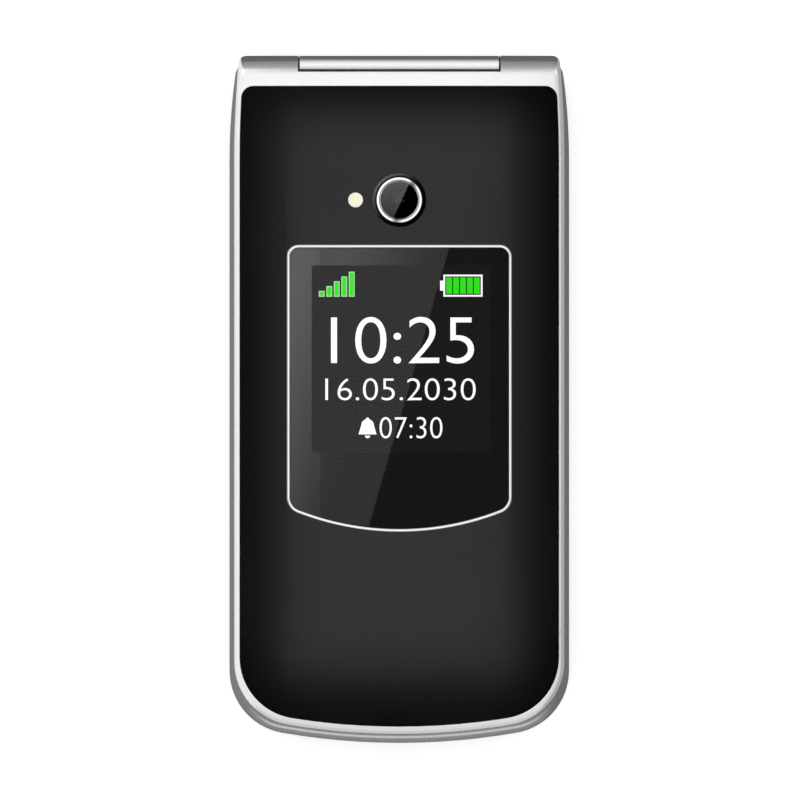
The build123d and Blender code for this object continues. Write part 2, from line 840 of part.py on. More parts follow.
with BuildPart() as hinge_cartridge:
    with BuildSketch(Plane.YZ.offset(-barrel_half_length)):
        with Locations((hinge_y, hinge_height)):
            Circle(barrel_bore_radius - seat_gap)
            Circle(cam_radius + running_clearance, mode=Mode.SUBTRACT)
    extrude(amount=cartridge_mouth)
    with BuildSketch(Plane.YZ.offset(cartridge_mouth - barrel_half_length)):
        with Locations((hinge_y, hinge_height)):
            Circle(barrel_bore_radius - seat_gap)
    extrude(amount=cartridge_length - cartridge_mouth)
    with BuildSketch(Plane.YZ.offset(cartridge_mouth - barrel_half_length)):
        with Locations((hinge_y, hinge_height)):
            Circle(chamber_radius)
    extrude(amount=spring_length + 2 * seat_gap, mode=Mode.SUBTRACT)
hinge_cartridge.part.label = "hinge_cartridge"
export_step(hinge_cartridge.part, "parts/hinge_cartridge.step")

with BuildPart() as hinge_spring:
    with BuildSketch(Plane.YZ.offset(cartridge_mouth - barrel_half_length + seat_gap)):
        with Locations((hinge_y, hinge_height)):
            Circle(chamber_radius - seat_gap)
            Circle(chamber_radius - seat_gap - spring_thickness, mode=Mode.SUBTRACT)
    extrude(amount=spring_length)
hinge_spring.part.label = "hinge_spring"
export_step(hinge_spring.part, "parts/hinge_spring.step")

with BuildPart() as hinge_flex_cable:
    with BuildSketch(Plane.YZ.offset(flex_x)):
        with Locations((hinge_y, hinge_height)):
            Circle(flex_roll_radius)
            Circle(flex_roll_radius - flex_thickness, mode=Mode.SUBTRACT)
    extrude(amount=flex_roll_length / 2, both=True)
    with BuildSketch(Plane.YZ.offset(flex_x)):
        with Locations((hinge_y - flex_roll_radius, hinge_height)):
            Rectangle(flex_thickness, hinge_height - board_top, align=(Align.MIN, Align.MAX))
    extrude(amount=flex_width / 2, both=True)
hinge_flex_cable.part.label = "hinge_flex_cable"
export_step(hinge_flex_cable.part, "parts/hinge_flex_cable.step")

# ---------------------------------------------------------------- base shell
with BuildPart() as base_form:
    with BuildSketch():
        add(base_plan)
    extrude(amount=base_height)
    fillet(base_form.faces().sort_by(Axis.Z)[-1].edges(), base_top_round)
    fillet(base_form.faces().sort_by(Axis.Z)[0].edges(), base_bottom_round)

base_hollow_plan = inset(base_plan, base_wall)
side_keys = {
    "volume_key": (-1, volume_key_length, volume_key_y),
    "camera_key": (1, camera_key_length, camera_key_y),
}

with BuildPart() as front_housing:
    add(base_form.part)
    with BuildSketch(Plane.XY.offset(rear_height)):
        Rectangle(2 * base_width, 2 * phone_length)
    extrude(amount=base_height, mode=Mode.INTERSECT)
    with BuildSketch(Plane.XY.offset(rear_height)):
        add(base_hollow_plan)
    extrude(amount=front_ceiling - rear_height, mode=Mode.SUBTRACT)
    with BuildSketch(Plane.XY.offset(plate_level)):
        add(grown(plate_plan, seat_gap))
    extrude(amount=plate_thickness, mode=Mode.SUBTRACT)
    with BuildSketch(Plane.XY.offset(front_ceiling)):
        add(inset(plate_plan, plate_ledge))
    extrude(amount=plate_level - front_ceiling, mode=Mode.SUBTRACT)
    # bosses for the base screws
    with BuildSketch(Plane.XY.offset(rear_height)):
        with Locations(base_screw_places):
            Circle(base_boss_radius)
        add(inset(base_plan, base_wall / 2), mode=Mode.INTERSECT)
    extrude(amount=front_ceiling - rear_height)
    with BuildSketch(Plane.XY.offset(rear_height)):
        with Locations(base_screw_places):
            Circle(screw_radius + seat_gap)
    extrude(amount=screw_tip + screw_tip_gap - rear_height, mode=Mode.SUBTRACT)
    # barrel on its neck
    with BuildSketch(Plane.YZ):
        with Locations((hinge_y, hinge_height)):
            Circle(barrel_radius)
            Rectangle(neck_front, hinge_height - plate_level, align=(Align.MAX, Align.MAX))
            Rectangle(neck_back, hinge_height - plate_level, align=(Align.MIN, Align.MAX))
    extrude(amount=barrel_half_length, both=True)
    with BuildSketch(Plane.YZ.offset(-barrel_half_length)):
        with Locations((hinge_y, hinge_height)):
            Circle(barrel_bore_radius)
    extrude(amount=2 * barrel_half_length - barrel_web, mode=Mode.SUBTRACT)
    with BuildSketch(Plane.YZ.offset(pin_start)):
        with Locations((hinge_y, hinge_height)):
            Circle(pin_radius + running_clearance)
    extrude(amount=barrel_web, mode=Mode.SUBTRACT)
    # slot for the flex cable's tail
    with BuildSketch(Plane.YZ.offset(flex_x)):
        with Locations((hinge_y - flex_roll_radius - flex_gap, hinge_height)):
            Rectangle(
                flex_thickness + 2 * flex_gap, hinge_height - front_ceiling, align=(Align.MIN, Align.MAX)
            )
    extrude(amount=flex_width / 2 + flex_gap, both=True, mode=Mode.SUBTRACT)
    # slots for the side keys
    for side, key_length, key_y in side_keys.values():
        with BuildSketch(Plane.YZ.offset(side * base_half)):
            with Locations((key_y, side_key_level)):
                RectangleRounded(
                    key_length + 2 * side_key_gap, side_key_height + 2 * side_key_gap, side_key_edge
                )
        extrude(amount=-side * 2 * base_wall, mode=Mode.SUBTRACT)
    # opening for the charging socket
    with BuildSketch(Plane.XZ.offset(-free_end)):
        with Locations((0, socket_level)):
            RectangleRounded(
                socket_width + 2 * socket_gap, socket_height + 2 * socket_gap, socket_corner + socket_gap
            )
    extrude(amount=-2 * base_wall, mode=Mode.SUBTRACT)
front_housing.part.label = "front_housing"
export_step(front_housing.part, "parts/front_housing.step")

battery_plan = strip(battery_half, battery_ends, battery_corner)
bay_plan = grown(battery_plan, bay_gap)

with BuildPart() as rear_housing:
    add(base_form.part)
    with BuildSketch():
        Rectangle(2 * base_width, 2 * phone_length)
    extrude(amount=rear_height, mode=Mode.INTERSECT)
    with BuildSketch(Plane.XY.offset(rear_floor)):
        add(base_hollow_plan)
    extrude(amount=rear_height - rear_floor, mode=Mode.SUBTRACT)
    # battery bay
    with BuildSketch(Plane.XY.offset(rear_floor)):
        add(grown(bay_plan, bay_wall))
    extrude(amount=bay_top + bay_ceiling - rear_floor)
    with BuildSketch():
        add(bay_plan)
    extrude(amount=bay_top, mode=Mode.SUBTRACT)
    with BuildSketch(Plane.XY.offset(contact_level - seat_gap)):
        with Locations((0, bay_end)):
            Rectangle(
                contact_width + 2 * seat_gap, 2 * bay_wall, align=(Align.CENTER, Align.MIN)
            )
    extrude(amount=contact_height + 2 * seat_gap, mode=Mode.SUBTRACT)
    # runway of the battery cover, open at the free end
    with BuildSketch():
        with Locations((0, cover_top + cover_gap)):
            Rectangle(2 * (cover_half + cover_gap), phone_length, align=(Align.CENTER, Align.MAX))
    extrude(amount=cover_depth + cover_lift, mode=Mode.SUBTRACT)
    # screw posts
    with BuildSketch(Plane.XY.offset(rear_floor)):
        with Locations(base_screw_places):
            Circle(base_boss_radius)
        add(inset(base_plan, base_wall / 2), mode=Mode.INTERSECT)
    extrude(amount=rear_height - rear_floor)
    with BuildSketch():
        with Locations(base_screw_places):
            Circle(screw_radius + seat_gap)
    extrude(amount=rear_height, mode=Mode.SUBTRACT)
    with BuildSketch():
        with Locations(base_screw_places):
            Circle(screw_head_radius + screw_head_gap)
    extrude(amount=screw_head_sink + screw_head_height, mode=Mode.SUBTRACT)
    # loudspeaker slots
    with BuildSketch():
        with Locations(speaker_at):
            with GridLocations(speaker_pitch, 0, speaker_slots, 1):
                SlotOverall(speaker_slot_length, speaker_slot_width, rotation=90)
    extrude(amount=rear_floor, mode=Mode.SUBTRACT)
    # cradle of the vibration motor
    with BuildSketch(Plane.XY.offset(rear_floor)):
        with Locations((motor_x + motor_length / 2, motor_y)):
            Rectangle(motor_length, motor_radius * 2)
    extrude(amount=motor_seat + motor_cradle)
    with BuildSketch(Plane.YZ.offset(motor_x)):
        with Locations((motor_y, motor_level)):
            Circle(motor_radius + seat_gap)
    extrude(amount=motor_length, mode=Mode.SUBTRACT)
rear_housing.part.label = "rear_housing"
export_step(rear_housing.part, "parts/rear_housing.step")

with BuildPart() as battery_cover:
    add(base_form.part)
    with BuildSketch():
        with Locations((0, cover_top)):
            Rectangle(2 * cover_half, phone_length, align=(Align.CENTER, Align.MAX))
    extrude(amount=cover_depth, mode=Mode.INTERSECT)
    with BuildSketch():
        with Locations((0, thumb_y)):
            Circle(thumb_radius)
    extrude(amount=thumb_depth, mode=Mode.SUBTRACT)
battery_cover.part.label = "battery_cover"
export_step(battery_cover.part, "parts/battery_cover.step")

with BuildPart() as base_screws:
    with BuildSketch(Plane.XY.offset(screw_head_sink)):
        with Locations(base_screw_places):
            Circle(screw_head_radius)
    extrude(amount=screw_head_height)
    with BuildSketch(Plane.XY.offset(screw_head_sink + screw_head_height)):
        with Locations(base_screw_places):
            Circle(screw_radius)
    extrude(amount=base_screw_length)
base_screws.part.label = "base_screws"
export_step(base_screws.part, "parts/base_screws.step")

# ---------------------------------------------------------------- keys
number_key_names = "1 2 3 4 5 6 7 8 9 star 0 hash".split()
key_plans = {}
for place, legend in enumerate(number_key_names):
    row, column = divmod(place, number_columns)
    key_at = (
        (column - (number_columns - 1) / 2) * number_pitch_x,
        number_hinge - number_key_length / 2 - row * number_pitch_y,
    )
    key_plans[f"key_{legend}"] = pill(number_key_width, number_key_length, number_key_corner, key_at)
for side, call_name, soft_name in ((-1, "call_key", "soft_key_left"), (1, "end_key", "soft_key_right")):
    key_plans[call_name] = pill(call_key_width, call_key_length, call_key_corner, (side * call_key_x, call_key_y))
    key_plans[soft_name] = pill(soft_key_width, soft_key_length, soft_key_corner, (side * soft_key_x, soft_key_y))

for name, plan in key_plans.items():
    with BuildPart() as key:
        with BuildSketch(Plane.XY.offset(key_bottom)):
            add(grown(plan, key_flange_width))
        extrude(amount=key_flange_thickness)
        with BuildSketch(Plane.XY.offset(key_bottom)):
            add(plan)
        extrude(amount=key_top - key_bottom)
        chamfer(key.faces().sort_by(Axis.Z)[-1].edges(), key_edge)
    key.part.label = name
    export_step(key.part, f"parts/{name}.step")

with BuildPart() as nav_ring:
    with BuildSketch(Plane.XY.offset(key_bottom)):
        add(disc(nav_radius + key_flange_width, nav_at))
    extrude(amount=key_flange_thickness)
    with BuildSketch(Plane.XY.offset(key_bottom)):
        add(disc(nav_radius, nav_at))
    extrude(amount=key_top - key_bottom)
    with BuildSketch(Plane.XY.offset(key_bottom)):
        add(disc(nav_hole_radius, nav_at))
    extrude(amount=key_top - key_bottom, mode=Mode.SUBTRACT)
    chamfer(nav_ring.faces().sort_by(Axis.Z)[-1].edges(), key_edge)
nav_ring.part.label = "nav_ring"
export_step(nav_ring.part, "parts/nav_ring.step")

with BuildPart() as ok_key:
    with BuildSketch(Plane.XY.offset(key_bottom)):
        add(disc(ok_radius, nav_at))
    extrude(amount=key_top - key_bottom)
    chamfer(ok_key.faces().sort_by(Axis.Z)[-1].edges(), key_edge)
ok_key.part.label = "ok_key"
export_step(ok_key.part, "parts/ok_key.step")

with BuildPart() as keypad_plate:
    with BuildSketch(Plane.XY.offset(plate_level)):
        add(plate_plan)
        for plan in key_plans.values():
            add(grown(plan, key_gap), mode=Mode.SUBTRACT)
        add(disc(nav_radius + key_gap, nav_at), mode=Mode.SUBTRACT)
        add(disc(microphone_hole, microphone_at), mode=Mode.SUBTRACT)
    extrude(amount=plate_thickness)
keypad_plate.part.label = "keypad_plate"
export_step(keypad_plate.part, "parts/keypad_plate.step")

for name, (side, key_length, key_y) in side_keys.items():
    with BuildPart() as side_key:
        with BuildSketch(Plane.YZ.offset(side * (base_half - side_key_sink))):
            with Locations((key_y, side_key_level)):
                RectangleRounded(key_length, side_key_height, side_key_edge)
        extrude(amount=-side * (base_wall + side_key_lip_gap - side_key_sink))
        outer = side_key.faces().sort_by(Axis.X)[0 if side < 0 else -1]
        chamfer(outer.edges(), side_key_bevel)
        with BuildSketch(Plane.YZ.offset(side * (base_half - base_wall - side_key_lip_gap))):
            with Locations((key_y, side_key_level)):
                RectangleRounded(
                    key_length + 2 * side_key_lip, side_key_height + side_key_lip, side_key_edge
                )
        extrude(amount=-side * side_key_lip_thickness)
    side_key.part.label = name
    export_step(side_key.part, f"parts/{name}.step")

# ---------------------------------------------------------------- electronics of the base
board_plan = shell_plan(
    base_half - board_inset,
    free_end + board_inset,
    base_hinge - board_hinge_inset,
    base_taper_radius,
    end_corner_radius - board_inset,
    board_corner,
)
with BuildPart() as main_board:
    with BuildSketch(Plane.XY.offset(board_level)):
        add(board_plan)
        with Locations(base_screw_places):
            Circle(base_boss_radius + board_clearance, mode=Mode.SUBTRACT)
    extrude(amount=board_thickness)
main_board.part.label = "main_board"
export_step(main_board.part, "parts/main_board.step")

with BuildPart() as dome_sheet:
    with BuildSketch(Plane.XY.offset(board_top)):
        with Locations((0, number_free - sheet_margin)):
            Rectangle(
                2 * (plate_half - number_side_band),
                nav_y + nav_radius - number_free + 2 * sheet_margin,
                align=(Align.CENTER, Align.MIN),
            )
        with Locations(base_screw_places):
            Circle(base_boss_radius + board_clearance, mode=Mode.SUBTRACT)
    extrude(amount=dome_sheet_thickness)
    with BuildSketch(Plane.XY.offset(sheet_top)):
        with Locations([plan.center() for plan in key_plans.values()]):
            Circle(dome_radius)
        with Locations(nav_at):
            Circle(dome_radius)
            with PolarLocations(nav_dome_radius, 4):
                Circle(dome_radius)
    extrude(amount=dome_rise)
dome_sheet.part.label = "dome_sheet"
export_step(dome_sheet.part, "parts/dome_sheet.step")

with BuildPart() as shield_can:
    with BuildSketch(Plane.XY.offset(can_level)):
        add(strip(can_half, can_ends, can_corner))
    extrude(amount=can_height)
    offset(amount=-can_wall, openings=shield_can.faces().sort_by(Axis.Z)[-1])
shield_can.part.label = "shield_can"
export_step(shield_can.part, "parts/shield_can.step")

with BuildPart() as battery:
    with BuildSketch(Plane.XY.offset(battery_level)):
        add(battery_plan)
    extrude(amount=battery_thickness)
battery.part.label = "battery"
export_step(battery.part, "parts/battery.step")

with BuildPart() as battery_contacts:
    with BuildSketch(Plane.XY.offset(contact_level)):
        with Locations((0, bay_end)):
            Rectangle(contact_width, contact_depth, align=(Align.CENTER, Align.MIN))
            with GridLocations(blade_pitch, 0, blade_count, 1):
                Rectangle(blade_width, blade_reach, align=(Align.CENTER, Align.MAX))
    extrude(amount=contact_height)
battery_contacts.part.label = "battery_contacts"
export_step(battery_contacts.part, "parts/battery_contacts.step")

with BuildPart() as sim_socket:
    with BuildSketch(Plane.XY.offset(bay_top - sim_height)):
        with Locations((0, sim_y)):
            Rectangle(sim_width, sim_length)
    extrude(amount=sim_height)
sim_socket.part.label = "sim_socket"
export_step(sim_socket.part, "parts/sim_socket.step")

with BuildPart() as loudspeaker:
    with BuildSketch(Plane.XY.offset(rear_floor)):
        add(disc(speaker_radius, speaker_at))
    extrude(amount=can_level - speaker_gap - rear_floor)
loudspeaker.part.label = "loudspeaker"
export_step(loudspeaker.part, "parts/loudspeaker.step")

with BuildPart() as antenna:
    with BuildSketch(Plane.XY.offset(rear_floor)):
        with Locations((0, antenna_y)):
            RectangleRounded(2 * antenna_half, antenna_length, antenna_corner)
    extrude(amount=board_level - antenna_gap - rear_floor)
antenna.part.label = "antenna"
export_step(antenna.part, "parts/antenna.step")

with BuildPart() as microphone:
    with BuildSketch(Plane.XY.offset(board_top)):
        add(disc(microphone_radius, microphone_at))
    extrude(amount=microphone_height)
microphone.part.label = "microphone"
export_step(microphone.part, "parts/microphone.step")

with BuildPart() as vibration_motor:
    with BuildSketch(Plane.YZ.offset(motor_x)):
        with Locations((motor_y, motor_level)):
            Circle(motor_radius)
    extrude(amount=motor_length)
    with BuildSketch(Plane.YZ.offset(motor_x + motor_length)):
        with Locations((motor_y, motor_level)):
            Circle(motor_shaft_radius + running_clearance)
    extrude(amount=-motor_shaft_depth - seat_gap, mode=Mode.SUBTRACT)
vibration_motor.part.label = "vibration_motor"
export_step(vibration_motor.part, "parts/vibration_motor.step")

with BuildPart() as vibration_weight:
    weight_start = motor_x + motor_length + weight_gap
    with BuildSketch(Plane.YZ.offset(motor_x + motor_length - motor_shaft_depth)):
        with Locations((motor_y, motor_level)):
            Circle(motor_shaft_radius)
    extrude(amount=motor_shaft_depth + weight_gap + weight_length)
    with BuildSketch(Plane.YZ.offset(weight_start)):
        with Locations((motor_y, motor_level)):
            Circle(weight_radius)
            Rectangle(
                2 * weight_radius,
                weight_radius,
                align=(Align.CENTER, Align.MIN),
                mode=Mode.SUBTRACT,
            )
            Circle(2 * motor_shaft_radius)
    extrude(amount=weight_length)
vibration_weight.part.label = "vibration_weight"
export_step(vibration_weight.part, "parts/vibration_weight.step")

with BuildPart() as charging_socket:
    with BuildSketch(Plane.XZ.offset(-free_end - socket_sink)):
        with Locations((0, socket_level)):
            RectangleRounded(socket_width, socket_height, socket_corner)
    extrude(amount=-socket_length)
    with BuildSketch(Plane.XZ.offset(-free_end - socket_sink)):
        with Locations((0, socket_level)):
            RectangleRounded(
                socket_width - 2 * socket_wall, socket_height - 2 * socket_wall, socket_corner - socket_wall
            )
            Rectangle(socket_tongue_width, socket_tongue, mode=Mode.SUBTRACT)
    extrude(amount=socket_wall - socket_length, mode=Mode.SUBTRACT)
charging_socket.part.label = "charging_socket"
export_step(charging_socket.part, "parts/charging_socket.step")
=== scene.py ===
"""Looks of a flip phone: finishes, fine pieces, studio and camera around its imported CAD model."""

import json
import logging
import math
from dataclasses import dataclass, field
from enum import Enum

import bmesh
import bpy
from mathutils import Matrix, Vector

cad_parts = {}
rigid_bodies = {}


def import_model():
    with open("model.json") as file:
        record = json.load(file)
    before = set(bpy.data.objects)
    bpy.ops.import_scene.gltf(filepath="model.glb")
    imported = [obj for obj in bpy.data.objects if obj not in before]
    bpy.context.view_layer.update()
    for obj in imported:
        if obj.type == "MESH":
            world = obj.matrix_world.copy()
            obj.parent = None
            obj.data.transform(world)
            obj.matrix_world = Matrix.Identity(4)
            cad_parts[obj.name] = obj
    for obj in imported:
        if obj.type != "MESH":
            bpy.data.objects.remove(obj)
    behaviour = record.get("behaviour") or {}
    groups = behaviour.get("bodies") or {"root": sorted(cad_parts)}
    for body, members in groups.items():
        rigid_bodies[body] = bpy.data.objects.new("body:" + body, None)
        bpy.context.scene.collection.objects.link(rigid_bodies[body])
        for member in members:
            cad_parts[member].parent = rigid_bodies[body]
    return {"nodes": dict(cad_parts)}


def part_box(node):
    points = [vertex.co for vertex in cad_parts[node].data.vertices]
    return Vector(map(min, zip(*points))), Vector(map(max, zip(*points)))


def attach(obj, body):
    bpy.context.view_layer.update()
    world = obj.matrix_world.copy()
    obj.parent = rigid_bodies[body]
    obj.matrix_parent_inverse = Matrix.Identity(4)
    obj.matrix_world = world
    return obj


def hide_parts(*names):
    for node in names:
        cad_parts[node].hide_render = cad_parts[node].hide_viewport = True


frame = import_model()

MM = 0.001
LOG = logging.getLogger("flip_phone")
WELD = 1e-7
CORNER_FACETS = 6
BLACK = (0.0, 0.0, 0.0, 1.0)

Pair = tuple[float, float]
Point = tuple[float, float, float]
Box = tuple[float, float, float, float]
BMesh = bmesh.types.BMesh
Material = bpy.types.Material
Node = bpy.types.Node
NodeTree = bpy.types.NodeTree
Piece = bpy.types.Object
Value = bpy.types.NodeSocket


class Texture(Enum):
    """Kinds of surface that a moulded, painted or plated finish can have."""

    PAINT = "sprayed_paint"
    MOULDED = "moulded_grain"
    BRUSHED = "drawn_lines"
    MESH = "fine_perforation"


# ---------------------------------------------------------------- nodes
class Graph:
    """Fills a node tree."""

    def __init__(self, tree: NodeTree) -> None:
        """Takes the tree that is filled."""
        self.tree = tree

    def feed(self, node: Node, inputs: dict[str | int, object]) -> Node:
        """Feeds inputs of a node.

        Args:
            node: The node.
            inputs: Numbers, colours or sockets, by the name or the place of the input.

        Returns:
            The same node.
        """
        for name, value in inputs.items():
            if isinstance(value, Value):
                self.tree.links.new(value, node.inputs[name])
            else:
                node.inputs[name].default_value = value
        return node

    def add(self, kind: str, inputs: dict[str | int, object] | None = None) -> Node:
        """Adds a node of a kind and feeds it."""
        return self.feed(self.tree.nodes.new(f"ShaderNode{kind}"), inputs or {})

    def operate(self, kind: str, operation: str, inputs: dict[str | int, object]) -> Node:
        """Adds a node that has an operation.

        Args:
            kind: Its type.
            operation: What it does, such as "MULTIPLY".
            inputs: What feeds it.

        Returns:
            The node.
        """
        node = self.add(kind)
        node.operation = operation
        return self.feed(node, inputs)

    def math(self, operation: str, *values: object) -> Value:
        """Adds a Math node on numbers or sockets, in the order of its inputs."""
        return self.operate("Math", operation, dict(enumerate(values))).outputs[0]

    def noise(self, scale: object, detail: float, vector: Value) -> Value:
        """Adds a Noise Texture, with its scale per metre."""
        return self.add("TexNoise", {"Vector": vector, "Scale": scale, "Detail": detail}).outputs["Fac"]

    def ranged(self, value: Value, source: Pair, target: tuple[object, object]) -> Value:
        """Adds a smooth Map Range.

        Args:
            value: What is mapped.
            source: The range it comes in.
            target: The range it leaves in, as numbers or sockets.

        Returns:
            The mapped value.
        """
        ends = dict(zip(("From Min", "From Max", "To Min", "To Max"), (*source, *target)))
        node = self.add("MapRange", {"Value": value, **ends})
        node.interpolation_type = "SMOOTHSTEP"
        return node.outputs["Result"]

    def scaled(self, colour: Point, level: Value) -> Value:
        """Multiplies a colour by a level."""
        return self.operate("VectorMath", "SCALE", {0: colour, "Scale": level}).outputs["Vector"]

    def use(self, group: NodeTree, inputs: dict[str, object]) -> Node:
        """Adds a shared group.

        Args:
            group: The group.
            inputs: What feeds it.

        Returns:
            The group's node.
        """
        node = self.add("Group")
        node.node_tree = group
        return self.feed(node, inputs)

    def place(self) -> Value:
        """Adds the object coordinates."""
        return self.add("TexCoord").outputs["Object"]

    def surface(self, shader: Node) -> None:
        """Lets a shader cover what the material is on."""
        self.feed(self.tree.nodes["Material Output"], {"Surface": shader.outputs[0]})

    def axis(self, name: str) -> Value:
        """Adds one of the object coordinates."""
        return self.add("SeparateXYZ", {"Vector": self.place()}).outputs[name]


class Group(Graph):
    """Fills a new group, which has a Vector input besides those named."""

    def __init__(self, name: str, inputs: dict[str, float], outputs: tuple[str, ...]) -> None:
        """Starts the group.

        Args:
            name: Name of the group.
            inputs: Names of its inputs, each with its default.
            outputs: Names of its outputs.
        """
        super().__init__(bpy.data.node_groups.new(name, "ShaderNodeTree"))
        sockets = self.tree.interface
        sockets.new_socket(name="Vector", in_out="INPUT", socket_type="NodeSocketVector")
        for socket, default in inputs.items():
            made = sockets.new_socket(name=socket, in_out="INPUT", socket_type="NodeSocketFloat")
            made.default_value = default
        for socket in outputs:
            sockets.new_socket(name=socket, in_out="OUTPUT", socket_type="NodeSocketFloat")
        self.given = self.tree.nodes.new("NodeGroupInput").outputs
        self.end = self.tree.nodes.new("NodeGroupOutput")

    def spots(self, scale: object, detail: float) -> Value:
        """Adds noise on the group's vector."""
        return self.noise(scale, detail, self.given["Vector"])

    def mottled(self, pattern: Value) -> Value:
        """Lets a pattern swing a tone about 1, by the group's Mottle."""
        swing = self.math("MULTIPLY", self.math("SUBTRACT", pattern, 0.5), self.given["Mottle"])
        return self.math("ADD", swing, 1.0)

    def result(self, **outputs: Value) -> NodeTree:
        """Feeds the group's outputs and gives the group."""
        self.feed(self.end, outputs)
        return self.tree


def grain_group() -> NodeTree:
    """Builds the fine relief and tone of a moulded or sprayed surface.

    Returns:
        Group with Height (0 to 1) and Tone (about 1) out.
    """
    broad_scale, fine_part, broad_part = 0.13, 0.7, 0.3
    group = Group("surface_grain", {"Scale": 4000.0, "Mottle": 0.05}, ("Height", "Tone"))
    fine = group.math("MULTIPLY", group.spots(group.given["Scale"], 2.0), fine_part)
    broad = group.spots(group.math("MULTIPLY", group.given["Scale"], broad_scale), 4.0)
    height = group.math("ADD", fine, group.math("MULTIPLY", broad, broad_part))
    return group.result(Height=height, Tone=group.mottled(broad))


def handling_group() -> NodeTree:
    """Builds the changing polish of a surface that hands have rubbed.

    Returns:
        Group with the mean Roughness and its Spread in, and Roughness out.
    """
    smear_scale, pore_scale, least = 55.0, 900.0, 0.01
    group = Group("handling_polish", {"Roughness": 0.3, "Spread": 0.06}, ("Roughness",))
    smears = group.ranged(group.spots(smear_scale, 5.0), (0.35, 0.7), (-1.0, 1.0))
    pores = group.math("SUBTRACT", group.spots(pore_scale, 2.0), 0.5)
    swing = group.math("MULTIPLY", group.math("ADD", smears, pores), group.given["Spread"])
    total = group.math("ADD", group.given["Roughness"], swing)
    return group.result(Roughness=group.math("MAXIMUM", total, least))


def lines_group() -> NodeTree:
    """Builds the drawn lines of brushed or rolled metal, which run along the vector's X.

    Returns:
        Group with Height and Tone out.
    """
    stretch = (0.03, 1.0, 1.0)
    group = Group("drawn_lines", {"Scale": 6000.0, "Mottle": 0.1}, ("Height", "Tone"))
    drawn = group.add("Mapping", {"Vector": group.given["Vector"], "Scale": stretch}).outputs["Vector"]
    lines = group.noise(group.given["Scale"], 4.0, drawn)
    return group.result(Height=lines, Tone=group.mottled(lines))


def perforation_group() -> NodeTree:
    """Builds the round holes of a fine acoustic mesh.

    Returns:
        Group with Height and Tone out, both low in the holes.
    """
    group = Group("fine_perforation", {"Scale": 2600.0, "Mottle": 0.8}, ("Height", "Tone"))
    cells = {"Vector": group.given["Vector"], "Scale": group.given["Scale"], "Randomness": 0.0}
    wall = group.ranged(group.add("TexVoronoi", cells).outputs["Distance"], (0.22, 0.42), (0.0, 1.0))
    low = group.math("SUBTRACT", 1.0, group.given["Mottle"])
    return group.result(Height=wall, Tone=group.ranged(wall, (0.0, 1.0), (low, 1.0)))


def wear_group() -> NodeTree:
    """Builds the mask of edges that handling has polished or chipped.

    Returns:
        Group with Radius in, and Mask (0 to 1) out.
    """
    patch_scale = 400.0
    group = Group("edge_wear", {"Radius": 0.0003}, ("Mask",))
    rounded = group.add("Bevel", {"Radius": group.given["Radius"]})
    rounded.samples = 4
    flat = group.add("NewGeometry").outputs["Normal"]
    turn = group.operate("VectorMath", "DOT_PRODUCT", {0: rounded.outputs["Normal"], 1: flat})
    edge = group.ranged(turn.outputs["Value"], (0.75, 0.98), (1.0, 0.0))
    patches = group.ranged(group.spots(patch_scale, 4.0), (0.4, 0.65), (0.0, 1.0))
    return group.result(Mask=group.math("MULTIPLY", edge, patches))


class Effects:
    """The node groups that finishes share, each built once."""

    def __init__(self) -> None:
        """Builds every group."""
        grain = grain_group()
        self.handling = handling_group()
        self.wear = wear_group()
        self.relief = {
            Texture.PAINT: grain,
            Texture.MOULDED: grain,
            Texture.BRUSHED: lines_group(),
            Texture.MESH: perforation_group(),
        }


EFFECTS = Effects()


# ---------------------------------------------------------------- finishes
def new_material(name: str, inputs: dict[str, object]) -> tuple[Material, Graph, Node]:
    """Starts a material.

    Args:
        name: Its name.
        inputs: Numbers and colours for its shader.

    Returns:
        The material, the filler of its tree and its shader.
    """
    material = bpy.data.materials.new(name)
    material.use_nodes = True
    graph = Graph(material.node_tree)
    return material, graph, graph.feed(material.node_tree.nodes["Principled BSDF"], inputs)


